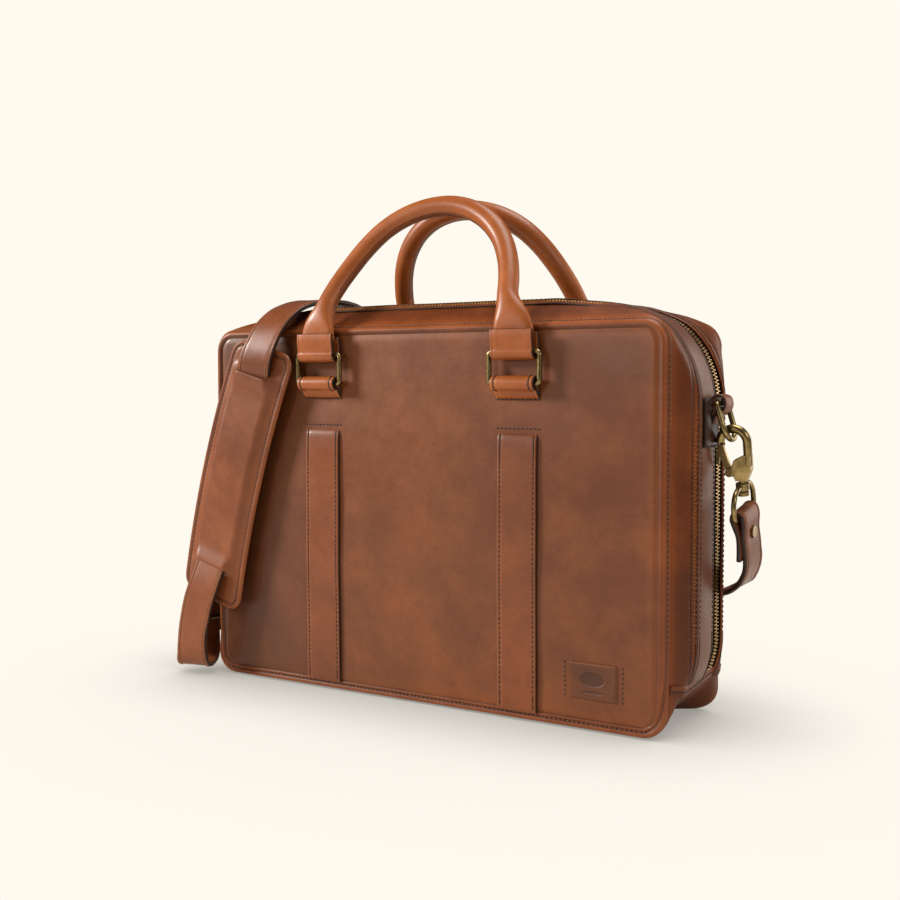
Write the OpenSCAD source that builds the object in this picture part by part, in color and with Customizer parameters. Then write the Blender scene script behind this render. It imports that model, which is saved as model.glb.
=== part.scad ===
// Leather briefcase: two zipped compartments, a pair of rolled handles and a shoulder strap with a pad.
// +Z is up, the front panel faces -Y, and the origin is the centre of the base, on the floor.

/* [Body] */
// Half of the width across the zips
mid_half_w = 211; // [208:1:214]
// Height of the body at the zips
mid_h = 300; // [298:1:302]
// Radius of the lower corners at the zips
mid_r = 50; // [44:1:52]
// Radius of the upper corners at the zips
mid_top_r = 74; // [66:1:76]
// Half of the width of the front and back panels
panel_half_w = 200; // [198:1:202]
// Height of the front and back panels
panel_h = 284; // [282:1:286]
// Corner radius of the front and back panels
panel_r = 18; // [16:1:20]
// Thickness of the body leather
leather = 2.2; // [1.8:0.1:2.4]

/* [Handles] */
// Distance of each handle leg from the middle of the bag
leg_x = 87; // [85:1:89]
// Radius of the rolled grip
grip_r = 7.5; // [6.5:0.5:8]
// Height of the arch, from the ring's upper bar to the middle of the grip
arch_h = 121; // [116:1:124]
// Lean of each arch towards the other one, in degrees
handle_lean = 20.8; // [18:0.2:22]

/* [Shoulder strap] */
// Width of the strap
strap_w = 31; // [29:1:31]
// Thickness of the strap
strap_t = 3.4; // [2.8:0.2:3.4]
// Length of the shoulder pad
pad_len = 216; // [200:2:218]
// Width of the shoulder pad
pad_w = 63; // [60:1:64]

/* [Metalwork] */
// Radius of the handle ring's wire
ring_wire = 2; // [1.8:0.1:2.1]
// Radius of the side ring's wire
side_ring_wire = 2; // [1.8:0.1:2.1]
// Radial play between a ring's wire and the leather folded over it
play = 0.06; // [0.04:0.01:0.1]

/* [Hidden] */

$fn = 64;
hide = "saddlebrown";        // body leather
edge = "chocolate";          // lighter leather of piping, handles and chapes
dark = "sienna";             // tabs and strap
metal = "darkgoldenrod";     // antique brass
cloth = "dimgray";           // zip tape and lining

gap = 0.3;                   // room left between pieces that move past each other
piping_r = 3;
piping_y = 48.5;             // the piping's middle, also the line on which a panel folds out
piping_z = 3.5;
gusset_y = 45.2;             // where a gusset meets the piping
lip_y = 25;                  // where a gusset ends, beside its zip
band_half = 14;              // half of the middle band's width
zip_y = 20;                  // middle of each zip
seam_z = 36;                 // top edge of the bottom gusset
teeth_half = 3.6;
teeth_t = 2.4;
tape_t = 1;
trim_w = 32.4;
trim_top = 204.5;
panel_t = 2.4;
panel_face = piping_y + 2.1; // distance of a panel's outer face from the middle of the bag
ring_y = 57;                 // a handle ring's lower bar
ring_z = 240;
ring_h = 22;                 // from the lower bar to the upper bar
ring_half = 20.3;
side_ring_x = 218.2;
side_ring_z = 226;
side_ring_half = 10.5;
side_ring_drop = 25.3;       // from the upper bar to the lowest point of the bow
side_ring_tilt = 17;         // outward lean of the side rings, in degrees
jaw_x = 226.6;               // middle of the hook's jaw
jaw_z = 199.8;
swivel_x = 231;              // the hook's swivel post
swivel_z = 170;
eye_z = 149;                 // the swivel eye's lower bar
eye_half = 20;
gate_x = 222.6;              // the gate's pin
gate_z = 178.5;
hook_lean = [-8, 12];        // how far the left and the right hook lean back, in degrees
slider_z = 54;
grip_from = 0.3;             // share of the arch's height at which the flat ends turn into the round grip
rope_r = 5;                  // radius of the rope inside the grip
tongue_half = 16.8;          // half of the width of a handle's flat ends
barrel_r = 4.6;              // outer radius of the leather folded round a ring's bar
gate_pin_r = 1.2;            // radius of the pin that a hook's gate turns on
cheek = 1.45;                // thickness of the two cheeks that hold the pin

// One half of a handle's arch, [distance from the middle, share of the arch's height]
arch_half = [[leg_x, 0.041], [leg_x, 0.09], [leg_x - 1, 0.2], [leg_x - 3.2, 0.33], [leg_x - 7, 0.46],
    [leg_x - 13.5, 0.6], [leg_x - 23, 0.735], [leg_x - 36, 0.85], [leg_x - 52, 0.935], [leg_x - 69, 0.983]];
arch_points = concat([for (p = arch_half) [-p[0], -clear(p[1]), p[1] * arch_h]], [[0, 0, arch_h]],
    [for (i = [len(arch_half) - 1:-1:0]) let (p = arch_half[i]) [p[0], -clear(p[1]), p[1] * arch_h]]);
// How far the flat ends stand out, so that they clear the top edge of the panel
function ease(a, b, x) = let (t = min(1, max(0, (x - a) / (b - a)))) t * t * (3 - 2 * t);
function clear(share) = 8 * ease(0.02, 0.16, share) * (1 - ease(0.2, 0.75, share));

// Places where a strap is held, each [x, y, z, turn of its width about Z, roll of its width]
right_end_route = [[230.2, 17.2, 121, 90, 12], [230.9, 15.2, 130, 90, 12], [230.7, 13.8, 138, 90, 12],
    [228.3, 12.2, 145.5, 90, 12], [227.1, 11.2, 150, 90, 12], [228.3, 10.6, 152.8, 90, 12],
    [231, 10.3, 153.9, 90, 12], [233.7, 10.6, 152.8, 90, 12], [234.9, 11.2, 150, 90, 12],
    [235.2, 12.2, 145.5, 90, 12], [234.4, 13.8, 138, 90, 12], [234.8, 16.5, 127, 90, 10],
    [233, 22, 116, 92, 7], [228, 30, 107, 94, 4], [221, 39.5, 100, 95, 2]];
back_route = [[213.5, 51, 95, 95, 1], [204, 67.5, 90, 92, 0], [190, 73.5, 83, 90, 0], [160, 75, 72, 90, 0],
    [122, 76, 64, 90, 0], [84, 76, 60, 90, 0], [44, 76, 64, 88, 0], [4, 75, 78, 84, 0],
    [-34, 73, 103, 72, 0], [-68, 70, 142, 52, 0], [-99, 65, 186, 26, 0], [-124, 60.5, 226, 8, 0],
    [-129.8, 57.5, 260, 2, 0], [-129.5, 55.6, 281, 0, 0], [-129.5, 47.5, 298, 0, 0], [-129, 34, 304.5, 0, 0],
    [-128.5, 20, 306.8, 0, 0]];
top_route = [[-128.4, 17.5, 307, 0, 0], [-128, 0, 307.2, 0, 0], [-127.5, -17, 306.2, 0, 0]];
front_route = [[-127.5, -19.5, 305.8, 0, 0], [-127.6, -34, 302.6, 0, 0], [-129, -48.5, 296.5, 0, 0],
    [-132, -61, 285, 0, 0], [-136.5, -67.5, 270, 0, 0], [-140.8, -69.8, 258, 0, 0],
    [-144.4, -69.8, 248, 0, 0]];
pad_exit_route = [[-190.4, -69.8, 93, 0, 0], [-194.5, -71, 80, 0, 0], [-198, -72, 70, 0, 0],
    [-201, -72.8, 61, 0, 0]];
left_loop_route = [[-203.6, -73.4, 50, 0, 0], [-206.6, -73.8, 36, -2, 0], [-208.2, -73, 22, 0, 0],
    [-210.5, -69, 11, 6, 0], [-214, -61.5, 7.3, 22, 0], [-218, -53.5, 11, 46, 0],
    [-221, -47, 19, 66, 0], [-222.3, -43.4, 28, 80, 0], [-222.3, -43.4, 46, 80, 0],
    [-222.5, -42.8, 74, 80, 0], [-224.5, -39, 92, 82, 0], [-230, -26.5, 110, 85, -3],
    [-233.6, -15, 125, 88, -6],
    [-234.4, -9.6, 138, 90, -8], [-235.2, -8.2, 145.5, 90, -8],
    [-234.9, -7.6, 149.6, 90, -8], [-233.7, -7.1, 152.4, 90, -8], [-231, -6.9, 153.5, 90, -8],
    [-228.3, -7.1, 152.4, 90, -8], [-227.1, -7.6, 149.6, 90, -8], [-228.3, -8.2, 145.5, 90, -8],
    [-230.7, -9.6, 138, 90, -8], [-230.6, -10.8, 130, 90, -8]];
rivet_at = [[232.6, 13.8, 138], [-232.6, -9.6, 138]];
adjuster_at = [-222.3, -43.4, 41];
adjuster_turn = 80;
pad_at = [-167.5, -62, 166];
pad_tilt = 16.3;

function unit(v) = v / norm(v);
function place(q) = [q[0], q[1], q[2]];

// A smooth curve through the points p, with so many steps between each two
function curve(a, b, c, d, t) =
    0.5 * (2 * b + (c - a) * t + (2 * a - 5 * b + 4 * c - d) * t * t + (3 * b - a - 3 * c + d) * t * t * t);
function smooth(p, steps) = let (n = len(p)) [
    for (i = [0:n - 2]) for (s = [0:steps - 1])
        curve(p[max(i - 1, 0)], p[i], p[i + 1], p[min(i + 2, n - 1)], s / steps),
    p[n - 1]];

// A closed solid through a list of rings, each ring a list of as many points.
// With looped = true the last ring joins the first, otherwise both ends are capped.
module skin(rings, looped = false) {
    n = len(rings);
    k = len(rings[0]);
    sides = [for (i = [0:n - (looped ? 1 : 2)]) for (j = [0:k - 1]) let (
        a = i * k, b = (i + 1) % n * k, m = (j + 1) % k)
        for (f = [[a + j, a + m, b + m], [a + j, b + m, b + j]]) f];
    ends = looped ? [] : [[for (j = [k - 1:-1:0]) j], [for (j = [0:k - 1]) (n - 1) * k + j]];
    polyhedron([for (r = rings) each r], concat(sides, ends), convexity = 8);
}

// A flat strap along a route
module ribbon(route, steps = 2) {
    r = smooth(route, steps);
    n = len(r);
    rings = [for (i = [0:n - 1]) let (
        along = unit(place(r[min(i + 1, n - 1)]) - place(r[max(i - 1, 0)])),
        turned = [cos(r[i][3]) * cos(r[i][4]), sin(r[i][3]) * cos(r[i][4]), sin(r[i][4])],
        across = unit(turned - (turned * along) * along),
        face = cross(along, across))
        [for (c = [[-1, -1], [-1, 1], [1, 1], [1, -1]])
            place(r[i]) + across * c[0] * strap_w / 2 + face * c[1] * strap_t / 2]];
    skin(rings);
}

module rounded(half_w, z0, z1, r, top_r) {
    polygon([for (p = body_ring(0, half_w, z0, z1, r, top_r)) [p[0], p[2]]]);
}

// Extrudes a front view from y = a to y = b
module slab(a, b) {
    translate([0, b, 0]) rotate([90, 0, 0]) linear_extrude(b - a) children();
}

module mid_outline(inset) rounded(mid_half_w - inset, inset, mid_h - inset, mid_r - inset,
    mid_top_r - inset);
module panel_outline(inset) rounded(panel_half_w - inset, 0.5 + inset, panel_h - inset,
    panel_r - inset, panel_r - inset);

// A ring of points round the body at depth y: round the panels or round the zips, taken in by inset
function body_ring(y, half_w, z0, z1, low_r, top_r) =
    [for (c = [[1, 1, 0], [-1, 1, 90], [-1, 0, 180], [1, 0, 270]]) let (r = c[1] == 1 ? top_r : low_r)
        for (a = [0:6:90]) [c[0] * (half_w - r) + r * cos(c[2] + a), y,
            (c[1] == 1 ? z1 - r : z0 + r) + r * sin(c[2] + a)]];
function panel_ring(y, inset) = body_ring(y, panel_half_w - inset, 0.5 + inset, panel_h - inset,
    panel_r - inset, panel_r - inset);
function mid_ring(y, inset) = body_ring(y, mid_half_w - inset, inset, mid_h - inset,
    mid_r - inset, mid_top_r - inset);

// Everything below or above the seam at the top edge of the bottom gusset
module below_seam() translate([-300, -100, -50]) cube([600, 200, 50 + seam_z]);
module above_seam() translate([-300, -100, seam_z + gap]) cube([600, 200, 400]);

module gusset() {
    color(edge) intersection() {
        skin([panel_ring(-gusset_y, 0), mid_ring(-lip_y, 0),
            mid_ring(-lip_y, leather), panel_ring(-gusset_y, leather)], looped = true);
        above_seam();
    }
}

module bottom_gusset() {
    y = gusset_y - 0.2;
    color(hide) intersection() {
        skin([panel_ring(-y, 0), mid_ring(-lip_y, 0), mid_ring(lip_y, 0), panel_ring(y, 0),
            panel_ring(y, leather), mid_ring(lip_y, leather), mid_ring(-lip_y, leather),
            panel_ring(-y, leather)], looped = true);
        below_seam();
    }
}

module base_board() {
    color("tan") translate([-158, -41, leather + 0.6]) cube([316, 82, 1.8]);
}

// A band that runs up one side of the bag, over the top and down the other
module arch(a, b, inset, thick) {
    intersection() {
        slab(a, b) difference() {
            mid_outline(inset);
            mid_outline(inset + thick);
        }
        above_seam();
    }
}

module middle_band() color(hide) arch(-band_half, band_half, 0, leather);

module divider_panel() {
    color(cloth) slab(-0.9, 0.9) rounded(mid_half_w - 6, 5, mid_h - 12, mid_r - 6, mid_top_r - 6);
}

module laptop_sleeve() {
    color(cloth) {
        translate([-168, 18.6, 9]) cube([336, 4, 221]);
        for (x = [-168, 165]) translate([x, 1, 9]) cube([3, 17.6, 221]);
        translate([-165, 1, 9]) cube([330, 17.6, 3]);
    }
}

module document_pocket() {
    color(cloth) {
        translate([-150, -8, 9]) cube([300, 1.4, 170]);
        for (x = [-150, 148.5]) translate([x, -6.6, 9]) cube([1.5, 5.6, 170]);
        translate([-148.5, -6.6, 9]) cube([297, 5.6, 1.5]);
    }
}

module inner_tape() color(cloth) arch(-zip_y + gap / 2, -band_half + 5, teeth_t + 0.2, tape_t);
module outer_tape() color(cloth) arch(-lip_y - 0.2, -zip_y - gap / 2, teeth_t + 0.2, tape_t);
module inner_teeth() color(metal) arch(-zip_y + gap / 2, -zip_y + teeth_half, 0, teeth_t);
module outer_teeth() color(metal) arch(-zip_y - teeth_half, -zip_y - gap / 2, 0, teeth_t);

module panel() {
    color(hide) slab(-panel_face, -panel_face + panel_t) panel_outline(2 * piping_r + 0.2);
}
module board() {
    color("tan") slab(-panel_face + panel_t + 0.1, -panel_face + panel_t + 1.5) panel_outline(9);
}
module lining() {
    color(cloth) slab(-panel_face + panel_t + 1.6, -panel_face + panel_t + 2.2) panel_outline(8);
}

// A round bead that runs all the way round a panel
module piping() {
    x = panel_half_w - piping_r;
    z0 = piping_z;
    z1 = panel_h - piping_r;
    r = panel_r - piping_r;
    color(edge) translate([0, -piping_y, 0]) {
        for (z = [z0, z1]) translate([-x + r, 0, z]) rotate([0, 90, 0]) cylinder(r = piping_r, h = 2 * (x - r));
        for (s = [-1, 1]) translate([s * x, 0, z0 + r]) cylinder(r = piping_r, h = z1 - z0 - 2 * r);
        for (c = [[1, z1 - r, 0], [-1, z1 - r, 90], [-1, z0 + r, 180], [1, z0 + r, 270]])
            translate([c[0] * (x - r), 0, c[1]]) rotate([90, 0, 0]) rotate([0, 0, c[2]])
                rotate_extrude(angle = 90) translate([r, 0]) circle(piping_r);
    }
}

module trim_straps() {
    color(dark) for (s = [-1, 1])
        translate([s * leg_x - trim_w / 2, -panel_face - leather - 0.1, 2 * piping_r + 1.5])
            cube([trim_w, leather, trim_top - 2 * piping_r - 1.5]);
}

// The short loops that hold the handle rings
module chapes() {
    w = 35;
    color(edge) for (s = [-1, 1]) translate([s * leg_x - w / 2, 0, 0]) difference() {
        rotate([90, 0, 90]) linear_extrude(w) {
            translate([-ring_y, ring_z]) circle(4.8);
            polygon([[-ring_y - 3.4, ring_z - 3.4], [-ring_y + 3.4, ring_z + 3.4],
                [-panel_face - 0.1, ring_z - 6], [-panel_face - 0.1, ring_z - 13]]);
        }
        translate([-1, -ring_y, ring_z]) rotate([0, 90, 0]) cylinder(r = ring_wire + play, h = w + 2);
    }
}

module handle_ring(s) {
    r = 2.6;
    color(metal) translate([s * leg_x, -ring_y, ring_z]) {
        for (z = [0, ring_h]) translate([-ring_half + r, 0, z]) rotate([0, 90, 0])
            cylinder(r = ring_wire, h = 2 * (ring_half - r));
        for (x = [-1, 1]) translate([x * ring_half, 0, r]) cylinder(r = ring_wire, h = ring_h - 2 * r);
        for (c = [[1, ring_h - r, 0], [-1, ring_h - r, 90], [-1, r, 180], [1, r, 270]])
            translate([c[0] * (ring_half - r), 0, c[1]]) rotate([90, 0, 0]) rotate([0, 0, c[2]])
                rotate_extrude(angle = 90) translate([r, 0]) circle(ring_wire);
    }
}

// The frame of the handle at point i of p: [along, across]
function grip_frame(p, i) = let (along = unit(p[min(i + 1, len(p) - 1)] - p[max(i - 1, 0)]))
    [along, cross(along, [0, 1, 0])];

// A ring round point i of p, with half axes a and b
function grip_ring(p, i, a, b, sides) = [for (j = [0:sides - 1]) let (turn = 360 * j / sides)
    p[i] + grip_frame(p, i)[1] * a * cos(turn) + [0, 1, 0] * b * sin(turn)];

// How round the handle is at a point: 0 is flat, 1 is fully round
function roundness(q) = let (t = min(1, max(0, (q[2] / arch_h - 0.06) / 0.26))) t * t * (3 - 2 * t);

function grip_rings(p, sides) = [for (i = [0:len(p) - 1]) let (s = roundness(p[i]))
    grip_ring(p, i, tongue_half + (grip_r - tongue_half) * s, 3.6 + (grip_r - 3.6) * s, sides)];

module at_handle() translate([0, -ring_y, ring_z + ring_h]) rotate([-handle_lean, 0, 0]) children();

module handle_cover() {
    p = smooth(arch_points, 2);
    round_part = [for (q = p) if (q[2] > grip_from * arch_h) q];
    n = len(round_part);
    color(edge) at_handle() {
        skin(concat(grip_rings(round_part, 16),
            [for (i = [n - 1:-1:0]) grip_ring(round_part, i, rope_r + 0.1, rope_r + 0.1, 16)]), looped = true);
        for (s = [-1, 1]) {
            skin(grip_rings([for (q = p) if (s * q[0] > 0 && q[2] < grip_from * arch_h && q[2] > 4.8) q], 16));
            translate([s * leg_x - tongue_half, 0, 0]) rotate([0, 90, 0]) difference() {
                cylinder(r = barrel_r, h = 2 * tongue_half);
                translate([0, 0, -1]) cylinder(r = ring_wire + play, h = 2 * tongue_half + 2);
            }
        }
    }
}

// The rope inside the grip
module handle_core() {
    p = [for (q = smooth(arch_points, 2)) if (q[2] > grip_from * arch_h) q];
    color("wheat") at_handle() skin([for (i = [0:len(p) - 1]) grip_ring(p, i, rope_r, rope_r, 10)]);
}

module leather_patch() {
    color(dark) translate([128.5, -panel_face - 1.3, 22]) cube([36.5, 1.2, 25.6]);
}

module side_tab(s) {
    color(dark) mirror([s < 0 ? 1 : 0, 0, 0]) difference() {
        union() {
            translate([mid_half_w + 0.1, -10, 196]) cube([2, 20, 30]);
            translate([side_ring_x, 8, side_ring_z]) rotate([90, 0, 0]) cylinder(r = 5.4, h = 16);
            translate([mid_half_w + 0.1, -8, 221]) cube([7, 16, 9]);
        }
        translate([side_ring_x, 12, side_ring_z]) rotate([90, 0, 0])
            cylinder(r = side_ring_wire + play, h = 24);
    }
}

// A ring that hangs from a side tab: a straight bar at the top and a round bow below
module side_ring(s) {
    r = 2.3;
    bow = side_ring_drop - side_ring_half;
    color(metal) mirror([s < 0 ? 1 : 0, 0, 0]) translate([side_ring_x, 0, side_ring_z])
        rotate([0, -side_ring_tilt, 0]) {
            translate([0, side_ring_half - r, 0]) rotate([90, 0, 0])
                cylinder(r = side_ring_wire, h = 2 * (side_ring_half - r));
            for (y = [-1, 1]) translate([0, y * side_ring_half, -bow])
                cylinder(r = side_ring_wire, h = bow - r);
            for (a = [0, 90]) translate([0, (a == 0 ? 1 : -1) * (side_ring_half - r), -r])
                rotate([90, 0, 90]) rotate([0, 0, a])
                    rotate_extrude(angle = 90) translate([r, 0]) circle(side_ring_wire);
            translate([0, 0, -bow]) rotate([90, 0, 90]) rotate([0, 0, 180])
                rotate_extrude(angle = 180) translate([side_ring_half, 0]) circle(side_ring_wire);
        }
}

// Hangs a hook from the bow of its side ring, leaning as the strap pulls it
module hung(s) {
    x = side_ring_x + side_ring_drop * sin(side_ring_tilt);
    z = side_ring_z - side_ring_drop * cos(side_ring_tilt);
    mirror([s < 0 ? 1 : 0, 0, 0]) translate([x, 0, z]) rotate([hook_lean[s < 0 ? 0 : 1], 0, 0])
        translate([-x, 0, -z]) children();
}

module snap_hook(s) {
    body_t = 5.7;
    slot_w = 2.6;
    color(metal) hung(s) {
        difference() {
            union() {
                translate([jaw_x, 0, jaw_z]) rotate([90, 0, 0])
                    rotate_extrude(angle = 180) translate([9.5, 0]) circle(3);
                translate([jaw_x + 9.5, 0, 184]) cylinder(r = 3, h = jaw_z - 184);
                translate([0, body_t / 2, 0]) rotate([90, 0, 0]) linear_extrude(body_t)
                    polygon([[224, 181], [226.5, 187.5], [233.6, 191], [238.5, 191], [238.4, 181],
                        [235, 173], [227, 173]]);
            }
            // slot and pin hole for the gate
            translate([217, -slot_w / 2, 172]) cube([9.4, slot_w, 13]);
            translate([gate_x, 4, gate_z]) rotate([90, 0, 0]) cylinder(r = 3.2, h = 8);
        }
        for (y = [-slot_w / 2 - cheek, slot_w / 2]) {
            translate([gate_x, y + cheek, gate_z]) rotate([90, 0, 0]) cylinder(r = 2.9, h = cheek);
            translate([gate_x, y, gate_z - 2.5]) cube([4.6, cheek, 5]);
        }
        translate([gate_x, body_t / 2, gate_z]) rotate([90, 0, 0]) cylinder(r = gate_pin_r, h = body_t);
        translate([swivel_x, 0, swivel_z - 5.5]) cylinder(r = 2.2, h = 9.5);
        translate([swivel_x, 0, swivel_z - 7.5]) cylinder(r = 4.2, h = 2.4);
    }
}

module hook_gate(s) {
    color(metal) hung(s) difference() {
        union() {
            translate([gate_x, 1.2, gate_z]) rotate([90, 0, 0]) cylinder(r = 2.6, h = 2.4);
            translate([0, 1.2, 0]) rotate([90, 0, 0]) linear_extrude(2.4)
                polygon([[gate_x - 2.4, gate_z + 1], [gate_x + 1.6, gate_z + 2], [219.2, jaw_z - 2.2],
                    [215, jaw_z - 2.2], [213.6, 184], [215.2, 183.6], [216.4, 190]]);
        }
        translate([gate_x, 3, gate_z]) rotate([90, 0, 0]) cylinder(r = gate_pin_r + play, h = 6);
    }
}

module swivel_eye(s) {
    w = 1.8;
    low = 4;
    high = 12;
    collar = 4.6;
    top_z = swivel_z - 1.2;
    color(metal) hung(s) translate([swivel_x, 0, 0]) {
        translate([0, eye_half - low, eye_z]) rotate([90, 0, 0]) cylinder(r = w, h = 2 * (eye_half - low));
        for (c = [[1, 270], [-1, 180]]) translate([0, c[0] * (eye_half - low), eye_z + low])
            rotate([90, 0, 90]) rotate([0, 0, c[1]]) rotate_extrude(angle = 90) translate([low, 0]) circle(w);
        for (y = [-1, 1]) translate([0, y * eye_half, eye_z + low]) cylinder(r = w, h = top_z - high - eye_z - low);
        for (c = [[1, 0], [-1, 90]]) translate([0, c[0] * (eye_half - high), top_z - high])
            rotate([90, 0, 90]) rotate([0, 0, c[1]]) rotate_extrude(angle = 90) translate([high, 0]) circle(w);
        for (y = [eye_half - high, -3.8]) translate([0, y, top_z]) rotate([90, 0, 0])
            cylinder(r = w, h = eye_half - high - 3.8);
        translate([0, 0, top_z - 2.2]) difference() {
            cylinder(r = collar, h = 4.4);
            translate([0, 0, -1]) cylinder(r = 2.27, h = 7);
        }
    }
}

module strap_right_end() color(dark) ribbon(right_end_route);
module strap_back() color(dark) ribbon(back_route);
module strap_over_top() color(dark) ribbon(top_route);
module strap_left_loop() color(dark) ribbon(left_loop_route);
module strap_front() {
    color(dark) {
        ribbon(front_route);
        ribbon(pad_exit_route);
    }
}

module strap_rivets() {
    h = 2 * strap_t + 2.4;
    color(metal) for (i = [0, 1]) translate(rivet_at[i]) rotate([0, 90, 0]) {
        translate([0, 0, -h / 2]) cylinder(r = 2, h = h);
        for (z = [-h / 2 - 0.6, h / 2 - 0.6]) translate([0, 0, z]) cylinder(r = 4.4, h = 1.2);
    }
}

module shoulder_pad() {
    r = 14;
    color(hide) translate(pad_at) rotate([0, pad_tilt, 0]) {
        rotate([90, 0, 0]) linear_extrude(4, center = true)
            translate([-pad_w / 2, -pad_len / 2]) {
                translate([r, 0]) square([pad_w - 2 * r, pad_len]);
                translate([0, r]) square([pad_w, pad_len - 2 * r]);
                for (x = [r, pad_w - r], z = [r, pad_len - r]) translate([x, z]) circle(r);
            }
        translate([-17, -5.2, -pad_len / 2 + 36]) cube([34, 10.4, pad_len - 66]);
    }
}

// The slider's face spans both rows of teeth; its hook holds the inner row
module zip_slider() {
    x = -mid_half_w - 0.4;
    color(metal) {
        translate([x - 1.8, -zip_y - 4.4, slider_z - 7]) cube([1.8, 9.9, 14]);
        translate([x - 1.8, -zip_y + teeth_half + gap, slider_z - 7]) cube([4.2, 1.4, 14]);
        for (y = [-4.2, 3]) translate([x - 5.6, -zip_y + y, slider_z - 1.8]) cube([3.9, 1.2, 3.6]);
        translate([x - 4, -zip_y + 4.2, slider_z]) rotate([90, 0, 0]) cylinder(r = 1.1, h = 8.4);
    }
}

module zip_pull() {
    x = -mid_half_w - 4.4;
    color(metal) difference() {
        union() {
            translate([x, -zip_y + 2.7, slider_z]) rotate([90, 0, 0]) cylinder(r = 2, h = 5.4);
            translate([x - 0.8, -zip_y - 2.7, slider_z - 8]) cube([1.6, 5.4, 8]);
            translate([x - 0.8, -zip_y - 4, slider_z - 30]) cube([1.6, 8, 23]);
        }
        translate([x, -zip_y + 5, slider_z]) rotate([90, 0, 0]) cylinder(r = 1.16, h = 10);
    }
}

// Two bars in front of the strap, one behind it, joined by limbs beside it
module strap_adjuster() {
    half_w = strap_w / 2 + 1.7;
    bar = 1.2;
    out = strap_t / 2 + 0.5 + bar;
    color(metal) translate(adjuster_at) rotate([0, 0, adjuster_turn]) {
        for (b = [[out, 11], [out, -11], [-out, 0]]) translate([-half_w, b[0], b[1]]) rotate([0, 90, 0])
            cylinder(r = bar, h = 2 * half_w);
        for (x = [-1, 1]) translate([x * half_w - 1.2, -out - bar, -12.5]) cube([2.4, 2 * (out + bar), 25]);
    }
}

module behind() mirror([0, 1, 0]) children();

bottom_gusset();
base_board();
middle_band();
divider_panel();
laptop_sleeve();
document_pocket();
inner_tape();  // front_zip_inner_tape
inner_teeth();  // front_zip_inner_teeth
behind() inner_tape();  // rear_zip_inner_tape
behind() inner_teeth();  // rear_zip_inner_teeth
side_tab(-1);  // left_side_tab
side_tab(1);  // right_side_tab
swivel_eye(-1);  // left_swivel_eye
swivel_eye(1);  // right_swivel_eye
strap_right_end();
strap_over_top();
strap_left_loop();
strap_rivets();
panel();  // front_panel
board();  // front_board
lining();  // front_lining
piping();  // front_piping
gusset();  // front_gusset
trim_straps();  // front_trim_straps
chapes();  // front_chapes
leather_patch();
outer_tape();  // front_zip_outer_tape
outer_teeth();  // front_zip_outer_teeth
strap_front();
shoulder_pad();
behind() panel();  // back_panel
behind() board();  // back_board
behind() lining();  // back_lining
behind() piping();  // back_piping
behind() gusset();  // rear_gusset
behind() trim_straps();  // back_trim_straps
behind() chapes();  // back_chapes
behind() outer_tape();  // rear_zip_outer_tape
behind() outer_teeth();  // rear_zip_outer_teeth
strap_back();
handle_ring(-1);  // front_left_ring
handle_ring(1);  // front_right_ring
handle_cover();  // front_handle_cover
handle_core();  // front_handle_core
behind() handle_ring(-1);  // rear_left_ring
behind() handle_ring(1);  // rear_right_ring
behind() handle_cover();  // rear_handle_cover
behind() handle_core();  // rear_handle_core
side_ring(-1);  // left_side_ring
side_ring(1);  // right_side_ring
snap_hook(-1);  // left_snap_hook
snap_hook(1);  // right_snap_hook
hook_gate(-1);  // left_hook_gate
hook_gate(1);  // right_hook_gate
zip_slider();  // front_zip_slider
behind() zip_slider();  // rear_zip_slider
zip_pull();  // front_zip_pull
behind() zip_pull();  // rear_zip_pull
strap_adjuster();
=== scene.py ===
import math
import random

import bpy
import numpy as np
from mathutils import Matrix, Vector


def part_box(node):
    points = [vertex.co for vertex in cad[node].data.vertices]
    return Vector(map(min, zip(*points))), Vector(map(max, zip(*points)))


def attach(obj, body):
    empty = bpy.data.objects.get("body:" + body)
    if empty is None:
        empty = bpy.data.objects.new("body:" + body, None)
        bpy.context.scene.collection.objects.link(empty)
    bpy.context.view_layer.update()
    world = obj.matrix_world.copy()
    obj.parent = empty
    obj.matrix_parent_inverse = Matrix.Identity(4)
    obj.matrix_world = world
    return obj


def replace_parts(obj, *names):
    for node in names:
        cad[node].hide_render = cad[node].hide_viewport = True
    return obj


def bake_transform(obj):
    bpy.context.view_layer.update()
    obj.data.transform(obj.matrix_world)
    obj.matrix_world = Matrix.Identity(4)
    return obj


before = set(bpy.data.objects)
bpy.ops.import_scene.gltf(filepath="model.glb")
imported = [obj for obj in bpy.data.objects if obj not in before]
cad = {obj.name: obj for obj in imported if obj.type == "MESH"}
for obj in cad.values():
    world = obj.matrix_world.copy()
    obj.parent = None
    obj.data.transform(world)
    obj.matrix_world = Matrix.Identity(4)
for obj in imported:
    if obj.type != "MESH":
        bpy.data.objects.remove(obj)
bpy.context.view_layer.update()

random.seed(4)
print("frame loaded")

mm = 0.001

# sizes of the body, read from the frame
bandBox, beadBox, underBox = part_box("middle_band"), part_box("front_piping"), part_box("bottom_gusset")
bag = {
    "midHalf": bandBox[1].x, "midTop": bandBox[1].z, "midRound": 62 * mm, "topRound": 74 * mm,
    "panelHalf": beadBox[1].x, "panelTop": beadBox[1].z, "panelLow": beadBox[0].z, "panelRound": 18 * mm,
    "seam": underBox[1].z, "thick": 2.2 * mm, "bandHalf": bandBox[1].y, "lip": 25 * mm, "beadY": 45.2 * mm,
    "face": -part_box("front_panel")[0].y,
}


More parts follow.
